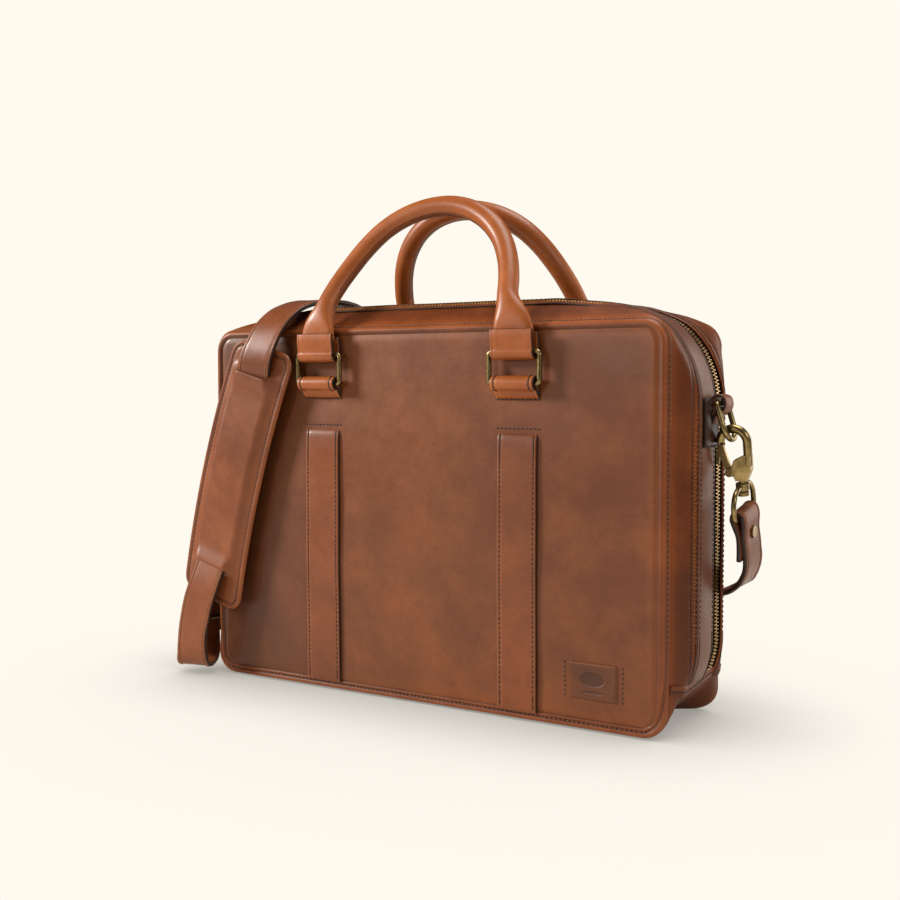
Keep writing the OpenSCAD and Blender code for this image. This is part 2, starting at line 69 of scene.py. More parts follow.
# ---------------------------------------------------------------- mesh helpers
def addPiece(name, verts, faces, material, layers=None):
    mesh = bpy.data.meshes.new(name)
    mesh.from_pydata([tuple(map(float, v)) for v in verts], [], [tuple(map(int, f)) for f in faces])
    mesh.materials.append(material)
    mesh.polygons.foreach_set("use_smooth", [True] * len(mesh.polygons))
    for key, values in (layers or {}).items():
        mesh.attributes.new(key, "FLOAT", "POINT").data.foreach_set("value", np.asarray(values, np.float32))
    mesh.update()
    piece = bpy.data.objects.new(name, mesh)
    bpy.context.scene.collection.objects.link(piece)
    return piece


# faces of a grid of points, rows by columns, counted from first
def gridFaces(rows, cols, first=0, closeRows=False, closeCols=False):
    faces = []
    for i in range(rows if closeRows else rows - 1):
        for j in range(cols if closeCols else cols - 1):
            a, b = first + i * cols, first + (i + 1) % rows * cols
            k = (j + 1) % cols
            faces.append((a + j, a + k, b + k, b + j))
    return faces


# turns every face outward, so that the normals agree
def outward(piece):
    import bmesh
    work = bmesh.new()
    work.from_mesh(piece.data)
    bmesh.ops.recalc_face_normals(work, faces=work.faces)
    work.to_mesh(piece.data)
    work.free()
    return piece


def unit(v):
    v = np.asarray(v, float)
    return v / np.maximum(np.linalg.norm(v, axis=-1, keepdims=True), 1e-12)


def smoothstep(a, b, x):
    t = np.clip((np.asarray(x, float) - a) / (b - a), 0, 1)
    return t * t * (3 - 2 * t)


# a smooth curve through points, with so many steps between each two
def smoothPath(points, steps):
    p = np.asarray(points, float)
    n, out = len(p), []
    for i in range(n - 1):
        a, b, c, d = p[max(i - 1, 0)], p[i], p[i + 1], p[min(i + 2, n - 1)]
        for s in range(steps):
            t = s / steps
            out.append(0.5 * (2 * b + (c - a) * t + (2 * a - 5 * b + 4 * c - d) * t ** 2
                              + (3 * b - a - 3 * c + d) * t ** 3))
    return np.array(out + [p[-1]])


# points spaced evenly along a line
def spaced(line, pitch):
    line = np.asarray(line, float)
    far = np.concatenate([[0], np.cumsum(np.linalg.norm(np.diff(line, axis=0), axis=1))])
    at = (np.arange(max(1, int(far[-1] / pitch))) + 0.5) * far[-1] / max(1, int(far[-1] / pitch))
    return np.stack([np.interp(at, far, line[:, k]) for k in range(line.shape[1])], axis=1)


# slow waves of about one millimetre, which keep broad leather from looking like sheet metal
def waves(points, size):
    p = np.asarray(points, float) / size
    return (np.sin(p[..., 0] * 1.3 + 2.1 * np.sin(p[..., 2] * 0.9)) * np.cos(p[..., 2] * 1.7 + p[..., 1])
            + 0.5 * np.sin(p[..., 0] * 3.1 + p[..., 2] * 2.3 + 1.3)) / 1.5


# ---------------------------------------------------------------- materials
def put(tree, kind, links=None, **values):
    made = tree.nodes.new(kind)
    for key, value in values.items():
        if hasattr(made, key):
            setattr(made, key, value)
        else:
            made.inputs[key.replace("_", " ")].default_value = value
    for key, source in (links or {}).items():
        tree.links.new(source, made.inputs[key])
    return made


def newGroup(name, inputs, outputs):
    tree = bpy.data.node_groups.new(name, "ShaderNodeTree")
    kinds = {"c": "NodeSocketColor", "f": "NodeSocketFloat"}
    for key, (kind, value) in inputs.items():
        socket = tree.interface.new_socket(name=key, in_out="INPUT", socket_type=kinds[kind])
        socket.default_value = value
    for key, kind in outputs.items():
        tree.interface.new_socket(name=key, in_out="OUTPUT", socket_type=kinds[kind])
    return tree, tree.nodes.new("NodeGroupInput"), tree.nodes.new("NodeGroupOutput")


def mixColour(tree, factor, a, b, how="MIX"):
    made = tree.nodes.new("ShaderNodeMix")
    made.data_type, made.blend_type, made.clamp_factor = "RGBA", how, True
    for socket, value in ((made.inputs[0], factor), (made.inputs[6], a), (made.inputs[7], b)):
        if hasattr(value, "links"):
            tree.links.new(value, socket)
        else:
            socket.default_value = value
    return made.outputs[2]


def sums(tree, how, a, b):
    made = tree.nodes.new("ShaderNodeMath")
    made.operation = how
    for socket, value in zip(made.inputs, (a, b)):
        if hasattr(value, "links"):
            tree.links.new(value, socket)
        else:
            socket.default_value = value
    return made.outputs[0]


def spread(tree, value, low, high, outLow=0.0, outHigh=1.0):
    made = put(tree, "ShaderNodeMapRange", {"Value": value})
    for key, number in (("From Min", low), ("From Max", high), ("To Min", outLow), ("To Max", outHigh)):
        made.inputs[key].default_value = number
    return made.outputs[0]


def noise(tree, where, scale, detail=3.0, rough=0.55, twist=0.0):
    return put(tree, "ShaderNodeTexNoise", {"Vector": where}, Scale=scale, Detail=detail, Roughness=rough,
               Distortion=twist).outputs[0]


# waxed leather: broad mottling, fine creases and pores, rubbed edges, painted cut edges, and painted shade from the
# fold mask in folds, grooves and slots, which also darkens pressed marks
def leatherGroup():
    tree, given, out = newGroup("waxedLeather", {
        "Colour": ("c", (0.2, 0.05, 0.02, 1)), "Dark": ("c", (0.08, 0.02, 0.01, 1)),
        "Light": ("c", (0.4, 0.12, 0.03, 1)), "Mottle": ("f", 0.7), "Rub": ("f", 0.7)},
        {"Colour": "c", "Roughness": "f", "Height": "f"})
    where = tree.nodes.new("ShaderNodeTexCoord").outputs["Object"]
    broad = noise(tree, where, 6.0, 4.0, 0.6, 0.8)
    cloudy = noise(tree, where, 26.0, 5.0, 0.62)
    fine = noise(tree, where, 150.0, 6.0, 0.68, 0.4)
    crease = noise(tree, where, 420.0, 4.0, 0.6, 1.4)
    pore = put(tree, "ShaderNodeTexVoronoi", {"Vector": where}, Scale=850.0).outputs["Distance"]
    stretch = put(tree, "ShaderNodeMapping", {"Vector": where})
    stretch.inputs["Scale"].default_value = (34, 60, 210)
    stretch.inputs["Rotation"].default_value = (0.2, 0.5, 0.1)
    streak = spread(tree, noise(tree, stretch.outputs[0], 1.0, 3.0, 0.7), 0.6, 0.72)
    masks = {key: put(tree, "ShaderNodeAttribute", attribute_name=key).outputs["Fac"]
             for key in ("rub", "fold", "paint")}
    dark = sums(tree, "MULTIPLY", spread(tree, broad, 0.36, 0.66), given.outputs["Mottle"])
    colour = mixColour(tree, dark, given.outputs["Colour"], given.outputs["Dark"])
    colour = mixColour(tree, spread(tree, cloudy, 0.46, 0.8, 0.0, 0.5), colour, given.outputs["Light"])
    colour = mixColour(tree, spread(tree, fine, 0.3, 0.62, 0.3, 0.0), colour, given.outputs["Dark"])
    colour = mixColour(tree, sums(tree, "MULTIPLY", streak, 0.10), colour, given.outputs["Light"])
    rub = sums(tree, "MULTIPLY", masks["rub"], spread(tree, cloudy, 0.3, 0.7, 0.65, 1.0))
    colour = mixColour(tree, sums(tree, "MULTIPLY", rub, given.outputs["Rub"]), colour, given.outputs["Light"])
    # painted shade: the fold mask mixes in a near-black brown where folds, grooves, slots and tucked edges would be
    # shaded
    colour = mixColour(tree, masks["fold"], colour, (0.035, 0.012, 0.006, 1))
    colour = mixColour(tree, masks["paint"], colour, (0.022, 0.010, 0.007, 1))
    tree.links.new(colour, out.inputs["Colour"])
    rough = sums(tree, "ADD", spread(tree, cloudy, 0.3, 0.75, 0.34, 0.5), spread(tree, fine, 0.3, 0.7, 0.0, 0.08))
    tree.links.new(rough, out.inputs["Roughness"])
    height = sums(tree, "ADD", sums(tree, "MULTIPLY", fine, 0.9), sums(tree, "MULTIPLY", crease, 0.35))
    tree.links.new(sums(tree, "ADD", height, spread(tree, pore, 0.0, 0.5, 0.0, 0.22)), out.inputs["Height"])
    return tree


# old brass: bright where it is handled, brown in the hollows
def brassGroup():
    tree, given, out = newGroup("oldBrass", {
        "Bright": ("c", (0.5, 0.36, 0.15, 1)), "Dark": ("c", (0.09, 0.06, 0.03, 1)), "Age": ("f", 0.6)},
        {"Colour": "c", "Roughness": "f", "Height": "f"})
    where = tree.nodes.new("ShaderNodeTexCoord").outputs["Object"]
    patch = noise(tree, where, 120.0, 4.0, 0.6, 0.5)
    speck = noise(tree, where, 900.0, 3.0, 0.6)
    age = sums(tree, "MULTIPLY", spread(tree, patch, 0.35, 0.7), given.outputs["Age"])
    colour = mixColour(tree, age, given.outputs["Bright"], given.outputs["Dark"])
    colour = mixColour(tree, spread(tree, speck, 0.55, 0.75, 0.0, 0.5), colour, given.outputs["Dark"])
    tree.links.new(colour, out.inputs["Colour"])
    tree.links.new(spread(tree, patch, 0.3, 0.75, 0.22, 0.42), out.inputs["Roughness"])
    tree.links.new(sums(tree, "ADD", speck, patch), out.inputs["Height"])
    return tree


# woven cloth: two sets of threads at right angles, the same on faces of any direction
def weaveGroup():
    tree, given, out = newGroup("wovenCloth", {
        "Colour": ("c", (0.2, 0.2, 0.2, 1)), "Dark": ("c", (0.1, 0.1, 0.1, 1)), "Threads": ("f", 1200.0)},
        {"Colour": "c", "Height": "f"})
    where = tree.nodes.new("ShaderNodeTexCoord").outputs["Object"]
    parts = put(tree, "ShaderNodeSeparateXYZ", {"Vector": where})
    turned = sums(tree, "ADD", parts.outputs["X"], parts.outputs["Y"])
    across = sums(tree, "SINE", sums(tree, "MULTIPLY", turned, given.outputs["Threads"]), 0.0)
    up = sums(tree, "SINE", sums(tree, "MULTIPLY", parts.outputs["Z"], given.outputs["Threads"]), 0.0)
    cross = sums(tree, "MULTIPLY", across, up)
    fuzz = noise(tree, where, 240.0, 4.0, 0.6)
    thread = sums(tree, "ADD", spread(tree, cross, -1.0, 1.0), spread(tree, fuzz, 0.3, 0.7, -0.25, 0.25))
    tree.links.new(mixColour(tree, thread, given.outputs["Dark"], given.outputs["Colour"]), out.inputs["Colour"])
    tree.links.new(thread, out.inputs["Height"])
    return tree


groups = {"leather": leatherGroup(), "brass": brassGroup(), "weave": weaveGroup()}


def finish(name, kind, bump, values, rough=None, **surface):
    made = bpy.data.materials.new(name)
    made.use_nodes = True
    tree = made.node_tree
    shader = tree.nodes["Principled BSDF"]
    group = tree.nodes.new("ShaderNodeGroup")
    group.node_tree = groups[kind]
    for key, value in values.items():
        group.inputs[key].default_value = value
    tree.links.new(group.outputs["Colour"], shader.inputs["Base Color"])
    if rough is None:
        tree.links.new(group.outputs["Roughness"], shader.inputs["Roughness"])
    else:
        shader.inputs["Roughness"].default_value = rough
    relief = put(tree, "ShaderNodeBump", {"Height": group.outputs["Height"]}, Strength=bump[0], Distance=bump[1])
    tree.links.new(relief.outputs[0], shader.inputs["Normal"])
    for key, value in surface.items():
        shader.inputs[key.replace("_", " ")].default_value = value
    return made


def rgb(r, g, b):
    return (r, g, b, 1)


waxed = {"Coat_Weight": 0.10, "Coat_Roughness": 0.20, "Specular_IOR_Level": 0.30}
leathers = {
    "body": finish("bodyLeather", "leather", (0.30, 0.0006), {
        "Colour": rgb(0.165, 0.0455, 0.0110), "Dark": rgb(0.088, 0.022, 0.0052), "Light": rgb(0.270, 0.074, 0.0125),
        "Mottle": 0.85, "Rub": 0.65}, **waxed),
    "edge": finish("edgeLeather", "leather", (0.24, 0.0005), {
        "Colour": rgb(0.340, 0.088, 0.0150), "Dark": rgb(0.165, 0.038, 0.0070), "Light": rgb(0.46, 0.135, 0.026),
        "Mottle": 0.75, "Rub": 0.6}, **waxed),
    "welt": finish("weltLeather", "leather", (0.24, 0.0005), {
        "Colour": rgb(0.185, 0.042, 0.0065), "Dark": rgb(0.085, 0.018, 0.0040), "Light": rgb(0.34, 0.088, 0.014),
        "Mottle": 0.7, "Rub": 0.6}, **waxed),
    "side": finish("sideLeather", "leather", (0.24, 0.0005), {
        "Colour": rgb(0.140, 0.031, 0.0050), "Dark": rgb(0.060, 0.014, 0.0035), "Light": rgb(0.27, 0.064, 0.010),
        "Mottle": 0.75, "Rub": 0.6}, Specular_IOR_Level=0.2),
    # the middle band's pale pinkish tone is partly its own colour and partly painted sheen from the bright side
    "band": finish("bandLeatherAndSheen", "leather", (0.2, 0.0005), {
        "Colour": rgb(0.145, 0.054, 0.026), "Dark": rgb(0.105, 0.037, 0.018), "Light": rgb(0.20, 0.072, 0.032),
        "Mottle": 0.6, "Rub": 0.6}, Specular_IOR_Level=0.35),
    "strap": finish("strapLeather", "leather", (0.26, 0.0005), {
        "Colour": rgb(0.192, 0.050, 0.0130), "Dark": rgb(0.095, 0.024, 0.0062), "Light": rgb(0.31, 0.086, 0.017),
        "Mottle": 0.85, "Rub": 0.65}, **waxed),
    "patch": finish("patchLeather", "leather", (0.26, 0.0005), {
        "Colour": rgb(0.118, 0.035, 0.0100), "Dark": rgb(0.050, 0.014, 0.0050), "Light": rgb(0.20, 0.056, 0.012),
        "Mottle": 0.6, "Rub": 0.8}, **waxed),
    # painted shade: the tab base leather is near black, standing in for the shade it sits in
    "tab": finish("tabLeather", "leather", (0.28, 0.0006), {
        "Colour": rgb(0.032, 0.011, 0.006), "Dark": rgb(0.015, 0.005, 0.003), "Light": rgb(0.08, 0.024, 0.010),
        "Mottle": 0.7, "Rub": 0.5}, **waxed),
}
brass = finish("agedBrass", "brass", (0.12, 0.0004), {
    "Bright": rgb(0.33, 0.24, 0.10), "Dark": rgb(0.085, 0.062, 0.028), "Age": 0.8}, Metallic=1.0)
teethBrass = finish("teethBrass", "brass", (0.1, 0.0003), {
    "Bright": rgb(0.50, 0.32, 0.12), "Dark": rgb(0.12, 0.07, 0.03), "Age": 0.6}, Metallic=1.0)
cloths = {
    "zip": finish("zipTape", "weave", (0.5, 0.0004), {
        "Colour": rgb(0.030, 0.021, 0.017), "Dark": rgb(0.010, 0.007, 0.006), "Threads": 3600.0}, rough=0.8),
    "lining": finish("liningTwill", "weave", (0.4, 0.0004), {
        "Colour": rgb(0.26, 0.20, 0.13), "Dark": rgb(0.16, 0.12, 0.08), "Threads": 2600.0}, rough=0.85),
    "board": finish("boardFibre", "weave", (0.3, 0.0004), {
        "Colour": rgb(0.38, 0.31, 0.22), "Dark": rgb(0.27, 0.21, 0.15), "Threads": 700.0}, rough=0.9),
    "rope": finish("ropeCotton", "weave", (0.6, 0.001), {
        "Colour": rgb(0.55, 0.46, 0.32), "Dark": rgb(0.34, 0.27, 0.18), "Threads": 1500.0}, rough=0.9),
    "darkThread": finish("darkThread", "weave", (0.4, 0.0002), {
        "Colour": rgb(0.030, 0.014, 0.009), "Dark": rgb(0.010, 0.005, 0.004), "Threads": 6000.0}, rough=0.6),
    "tanThread": finish("tanThread", "weave", (0.4, 0.0002), {
        "Colour": rgb(0.33, 0.13, 0.05), "Dark": rgb(0.07, 0.026, 0.013), "Threads": 5200.0}, rough=0.6),
}
print("materials made")

# ---------------------------------------------------------------- camera, lights and floor
studio = {
    "eye": (0.5205, -0.8213, 0.2384), "yaw": 32.48, "pitch": -2.95, "lens": 50,
    "cream": rgb(1.0, 0.956, 0.862), "floorRadius": 1.1,
}


def areaLight(name, place, target, size, power, tint=(1, 1, 1)):
    data = bpy.data.lights.new(name, "AREA")
    data.shape, data.size, data.size_y = "RECTANGLE", size[0], size[1]
    data.energy, data.color = power, tint
    lamp = bpy.data.objects.new(name, data)
    lamp.location = place
    lamp.rotation_euler = (Vector(target) - Vector(place)).to_track_quat("-Z", "Y").to_euler()
    bpy.context.scene.collection.objects.link(lamp)


def buildStudio():
    scene = bpy.context.scene
    data = bpy.data.cameras.new("camera")
    data.lens, data.sensor_width, data.clip_start = studio["lens"], 36, 0.02
    camera = bpy.data.objects.new("camera", data)
    camera.location = studio["eye"]
    camera.rotation_euler = (math.radians(90 + studio["pitch"]), 0, math.radians(studio["yaw"]))
    scene.collection.objects.link(camera)
    scene.camera = camera
    scene.view_settings.view_transform = "Standard"
    areaLight("keyLight", (-1.75, -1.0, 1.0), (0, 0, 0.15), (0.42, 0.42), 60, (1, 0.96, 0.91))
    areaLight("topLight", (0.25, 0.15, 1.5), (0, 0, 0.2), (1.0, 0.7), 16, (1, 0.97, 0.93))
    areaLight("sheenLight", (-0.40, -1.55, 0.52), (0.1, 0, 0.18), (0.45, 0.5), 4.2, (1, 0.93, 0.86))
    areaLight("sideLight", (0.95, 1.35, 0.5), (0.2, 0, 0.18), (0.8, 1.1), 8, (1, 0.95, 0.9))
    areaLight("rightLight", (1.7, -0.5, 0.9), (0.2, 0, 0.15), (0.6, 0.6), 8, (1, 0.96, 0.92))
    world = bpy.data.worlds.new("studioAir")
    scene.world = world
    world.use_nodes = True
    tree = world.node_tree
    tree.nodes.clear()
    seen = put(tree, "ShaderNodeBackground", Color=studio["cream"], Strength=1.0)
    lit = put(tree, "ShaderNodeBackground", Color=rgb(1.0, 0.965, 0.92), Strength=0.26)
    glossy = put(tree, "ShaderNodeBackground", Color=rgb(1.0, 0.94, 0.88), Strength=0.10)
    ray = tree.nodes.new("ShaderNodeLightPath")
    dim = put(tree, "ShaderNodeMixShader", {0: ray.outputs["Is Glossy Ray"], 1: lit.outputs[0],
                                           2: glossy.outputs[0]})
    both = put(tree, "ShaderNodeMixShader", {0: ray.outputs["Is Camera Ray"], 1: dim.outputs[0],
                                            2: seen.outputs[0]})
    last = put(tree, "ShaderNodeOutputWorld", {"Surface": both.outputs[0]})
    last.is_active_output = True
    # for the camera the floor shows only a painted soft shadow: a dark glow mixed in where ambient occlusion finds the
    # bag near, clear elsewhere
    n, radius = 96, studio["floorRadius"]
    ring = [(radius * math.cos(2 * math.pi * i / n), radius * math.sin(2 * math.pi * i / n), 0) for i in range(n)]
    paper = bpy.data.materials.new("palePaper")
    paper.use_nodes = True
    tree = paper.node_tree
    shader = tree.nodes["Principled BSDF"]
    shader.inputs["Base Color"].default_value = (0.80, 0.76, 0.69, 1)
    shader.inputs["Roughness"].default_value = 0.9
    shader.inputs["Specular IOR Level"].default_value = 0.05
    near = put(tree, "ShaderNodeAmbientOcclusion", Distance=0.13, samples=12).outputs["AO"]
    wide = put(tree, "ShaderNodeAmbientOcclusion", Distance=0.34, samples=12).outputs["AO"]
    kept = sums(tree, "MULTIPLY", spread(tree, near, 0.15, 0.95, 0.25, 1.0), spread(tree, wide, 0.3, 0.98, 0.84, 1.0))
    dark = put(tree, "ShaderNodeEmission", Color=(0.13, 0.12, 0.11, 1), Strength=1.0)
    clear = tree.nodes.new("ShaderNodeBsdfTransparent")
    shade = put(tree, "ShaderNodeMixShader", {0: kept, 1: dark.outputs[0], 2: clear.outputs[0]})
    ray = tree.nodes.new("ShaderNodeLightPath")
    both = put(tree, "ShaderNodeMixShader", {0: ray.outputs["Is Camera Ray"], 1: shader.outputs[0],
                                            2: shade.outputs[0]})
    tree.links.new(both.outputs[0], tree.nodes["Material Output"].inputs["Surface"])
    floor = addPiece("floor", [(0, 0, 0)] + ring, [(0, i + 1, (i + 1) % n + 1) for i in range(n)], paper)
    floor.location.z = -0.0004


buildStudio()
print("studio ready")


# ---------------------------------------------------------------- stitching
threads = {}


# a row of stitches along a line; face is the way out of the leather, one vector or one for each point
def stitch(key, line, face, pitch=3.6, long=2.5, radius=0.42, lift=0.12):
    line = np.asarray(line, float)
    face = np.broadcast_to(np.asarray(face, float), line.shape)
    rows = spaced(np.concatenate([line, face], axis=1), pitch * mm)
    ahead = spaced(np.concatenate([line, face], axis=1), pitch * mm * 0.999)
    if len(rows) < 2:
        return
    along = unit(np.gradient(rows[:, :3], axis=0))
    out = unit(rows[:, 3:])
    side = unit(np.cross(along, out))
    store = threads.setdefault(key, [[], [], []])
    profile = [(-0.5, 0.35, -0.9), (-0.4, 0.85, -0.1), (0, 1.0, 0.15), (0.4, 0.85, -0.1), (0.5, 0.35, -0.9)]
    sides = 6
    for k in range(len(rows)):
        slant = random.uniform(-0.10, 0.10)
        size = random.uniform(0.92, 1.08)
        run = unit(along[k] + side[k] * slant)
        first = len(store[0])
        for t, wide, dip in profile:
            middle = rows[k, :3] + run * t * long * mm * size + out[k] * (lift + dip * radius) * mm
            for j in range(sides):
                turn = 2 * math.pi * j / sides
                store[0].append(middle + (side[k] * math.cos(turn) + out[k] * math.sin(turn)) * wide * radius * mm)
        count = len(profile)
        store[1] += gridFaces(count, sides, first, closeCols=True)
        store[1] += [tuple(first + j for j in range(sides)),
                     tuple(first + (count - 1) * sides + j for j in range(sides - 1, -1, -1))]


# ---------------------------------------------------------------- the body's outline
# blend 0 runs round the panels and 1 round the zips; inset takes the line inward
def loopSize(blend, inset):
    half = bag["panelHalf"] + (bag["midHalf"] - bag["panelHalf"]) * blend - inset
    low = bag["panelLow"] * (1 - blend) + inset
    high = bag["panelTop"] + (bag["midTop"] - bag["panelTop"]) * blend - inset
    rounds = [bag["panelRound"] + (bag[name] - bag["panelRound"]) * blend - inset for name in ("midRound", "topRound")]
    return half, low, high, *[max(r, 1 * mm) for r in rounds]


def corner(x, z, r, start, steps=14):
    turns = np.radians(start + 90 * (np.arange(steps + 1) / steps))
    return [(x + r * math.cos(a), z + r * math.sin(a)) for a in turns]


# the top of a well used bag sinks a little towards its corners
def droop(x, z, blend):
    sunk = 1 + 3 * (1 - smoothstep(0.165, 0.19, abs(x)))
    return z - sunk * mm * blend * smoothstep(0.1, 0.15, abs(x)) * smoothstep(0.225, 0.25, z)


# from the right end of the seam, up, over the top and down to the left end
def overLine(blend, inset, seam):
    half, low, high, lowRound, r = loopSize(blend, inset)
    zs = np.linspace(seam, high - r, 62)[:-1]
    right = [(half - lowRound + math.sqrt(max(lowRound ** 2 - max(0, low + lowRound - z) ** 2, 0)), z) for z in zs]
    left = [(-x, z) for x, z in right[::-1]]
    top = [(x, high) for x in np.linspace(half - r, r - half, 74)[1:-1]]
    line = right + corner(half - r, high - r, r, 0) + top + corner(r - half, high - r, r, 90) + left
    return np.array([(x, droop(x, z, blend)) for x, z in line])


# from the right end of the seam, down, under the base and up to the left end
def underLine(blend, inset, seam):
    half, low, high, r, top = loopSize(blend, inset)
    start = math.degrees(math.asin(min(1, (seam - low - r) / r))) if seam < low + r else 0
    turns = np.radians(np.linspace(start, -90, 18))
    straight = [(half, z) for z in np.linspace(seam, low + r, 5)[:-1]] if start == 0 else []
    bend = [(half - r + r * math.cos(a), low + r + r * math.sin(a)) for a in turns]
    side = np.array(straight + bend)
    far = np.concatenate([[0], np.cumsum(np.linalg.norm(np.diff(side, axis=0), axis=1))])
    at = np.linspace(0, far[-1], 24)
    side = np.stack([np.interp(at, far, side[:, 0]), np.interp(at, far, side[:, 1])], axis=1)
    base = [(x, low) for x in np.linspace(half - r, r - half, 62)[1:-1]]
    return np.array([tuple(p) for p in side] + base + [(-x, z) for x, z in side[::-1]])


# all the way round
def ringLine(blend, inset):
    half, low, high, r, top = loopSize(blend, inset)
    up = [(half, z) for z in np.linspace(low + r, high - r, 48)[1:-1]]
    over = [(x, high) for x in np.linspace(half - r, r - half, 66)[1:-1]]
    down = [(-x, z) for x, z in up[::-1]]
    base = [(x, low) for x in np.linspace(r - half, half - r, 66)[1:-1]]
    return np.array(up + corner(half - r, high - r, r, 0) + over + corner(r - half, high - r, r, 90) + down
                    + corner(r - half, low + r, r, 180) + base + corner(half - r, low + r, r, 270))


def at(line, y):
    y = np.broadcast_to(y, len(line))
    return np.stack([line[:, 0], y, line[:, 1]], axis=1)


# the way out of the body at each point of a line round it
def outOf(line, tilt=0.0):
    run = unit(np.gradient(line, axis=0))
    way = np.stack([run[:, 1], np.zeros(len(run)), -run[:, 0]], axis=1)
    middle = np.array([0, 0, 0.15])
    flip = np.sign(np.einsum("ij,ij->i", way, at(line, 0) - middle))
    return unit(way * flip[:, None] + np.array([0, tilt, 0]))


# a closed leather band round the body: each station is [depth y, blend, inset, rub, fold], fold being painted shade for
# grooves and tucked edges
def bandPiece(name, stations, route, material, side, wave=0.0, shift=None, ends=True, low=None):
    rows, rub, fold = [], [], []
    for k, (y, blend, inset, rubbed, grooveShade) in enumerate(stations):
        line = route(blend, inset * mm)
        depth = np.full(len(line), y * mm)
        if low is not None:
            under = 1 - smoothstep(0.004, 0.05, line[:, 1])[:, None]
            line = line * (1 - under) + route(low[k][1], low[k][2] * mm) * under
            depth = depth * (1 - under[:, 0]) + low[k][0] * mm * under[:, 0]
        if shift is not None:
            depth = depth + shift(line)
        points = at(line, depth)
        if wave:
            points = points + outOf(line) * (waves(points, 0.045) * wave * mm)[:, None]
        rows.append(points * np.array([1, side, 1]))
        rub += [rubbed] * len(line)
        fold += [grooveShade] * len(line)
    count = len(rows[0])
    closed = route is ringLine
    faces = gridFaces(len(rows), count, closeRows=True, closeCols=closed)
    if ends and not closed:
        faces += [tuple(i * count for i in range(len(rows))),
                  tuple(i * count + count - 1 for i in range(len(rows) - 1, -1, -1))]
    return outward(addPiece(name, np.concatenate(rows), faces, material, {"rub": rub, "fold": fold}))


# on the sliders' side the zips run straight; on the other side the band has moved over to the front
def leanBy(amount):
    return lambda line: -amount * mm * smoothstep(-0.165, -0.10, line[:, 0])


def overSeam(blend, inset):
    return overLine(blend, inset, bag["seam"] - 4.5 * mm)


def underSeam(blend, inset):
    return underLine(blend, inset, bag["seam"] - 3 * mm)

# bakes a piece's transform into its mesh; the piece stays on the fixed body

# what turns smoothly from the fixed body to an opened side
def bendOpen(piece):
    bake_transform(piece)


# the last number of each station is painted shade, darkest in stitch grooves and where the leather tucks under a seam
# or a panel
gussetStations = [
    (-46.4, 0, 2.2, 0, 0.5), (-46.2, 0, 0.9, 0.2, 0.5), (-45.4, 0.02, 0.1, 0.9, 0), (-43.8, 0.06, -0.7, 0.8, 0),
    (-41, 0.19, -0.9, 0.25, 0), (-37, 0.39, -1.2, 0.05, 0), (-33, 0.59, -1.2, 0, 0), (-30.6, 0.72, -1.0, 0.05, 0),
    (-29.9, 0.75, -0.6, 0.0, 0.35), (-29.2, 0.79, -0.9, 0.3, 0), (-27, 0.9, -0.8, 0.35, 0), (-25.2, 1, -0.7, 0.6, 0),
    (-24.3, 1, -0.3, 0.9, 0), (-23.9, 1, 0.4, 0.3, 0.5), (-24.1, 1, 1.3, 0, 1), (-25.0, 1, 1.9, 0, 1),
    (-30, 0.75, 2.2, 0, 0.6), (-38, 0.36, 2.2, 0, 0.6), (-45, 0.0, 2.6, 0, 0.8)]
bandStations = [
    (-13.1, 1, 1.9, 0, 1), (-14.0, 1, 1.2, 0, 0.8), (-14.3, 1, 0.4, 0.2, 0.4), (-13.9, 1, -0.3, 0.7, 0),
    (-12.9, 1, -0.6, 0.3, 0), (-11.6, 1, -0.35, 0, 0.35), (-10.4, 1, -0.6, 0.1, 0), (-6, 1, -0.9, 0, 0),
    (0, 1, -1.0, 0, 0)]
bandStations += [(-y, b, i, r, f) for y, b, i, r, f in bandStations[-2::-1]]
bandStations += [(8, 1, 2.1, 0, 0.6), (-8, 1, 2.1, 0, 0.6)]
weltStations = [
    (-48.2, 0, 8.8, 0, 0.8), (-49.4, 0, 7.6, 0, 0.6), (-50.6, 0, 6.2, 0.05, 0.5), (-51.2, 0, 5.2, 0.1, 0.35),
    (-51.4, 0, 4.3, 0.2, 0.2), (-51.2, 0, 3.4, 0.5, 0.05), (-50.5, 0, 2.4, 0.8, 0), (-49.6, 0, 1.5, 0.4, 0),
    (-48.6, 0, 0.9, 0.3, 0.1), (-48.0, 0, 0.8, 0.1, 0.6), (-47.6, 0, 1.2, 0, 1), (-47.2, 0, 1.2, 0, 1),
    (-46.9, 0, 0.5, 0.2, 0.5), (-46.6, 0, -0.2, 0.6, 0), (-46.1, 0, -0.45, 0.6, 0), (-45.5, 0, -0.3, 0.5, 0),
    (-45.1, 0, 0.3, 0.4, 0.3), (-45.3, 0, 2.2, 0, 1), (-46.4, 0, 5.2, 0, 1)]
lowWelt = [
    (-48.2, 0, 8.8, 0, 0), (-49.4, 0, 7.8, 0, 0), (-50.6, 0, 7.2, 0, 0), (-51.0, 0, 6.7, 0, 0),
    (-51.1, 0, 6.2, 0, 0), (-51.0, 0, 5.7, 0, 0), (-50.7, 0, 5.3, 0, 0), (-50.3, 0, 5.0, 0, 0),
    (-49.9, 0, 4.8, 0, 0), (-49.6, 0, 4.6, 0, 0), (-49.5, 0, 4.4, 0, 0), (-49.7, 0, 4.1, 0, 0),
    (-50.7, 0, 3.7, 0, 0), (-51.0, 0, 2.4, 0, 0), (-50.2, 0, 0.8, 0, 0), (-48.2, 0, 0.0, 0, 0),
    (-46.2, 0, 0.1, 0, 0), (-45.3, 0, 2.2, 0, 0), (-46.4, 0, 5.2, 0, 0)]
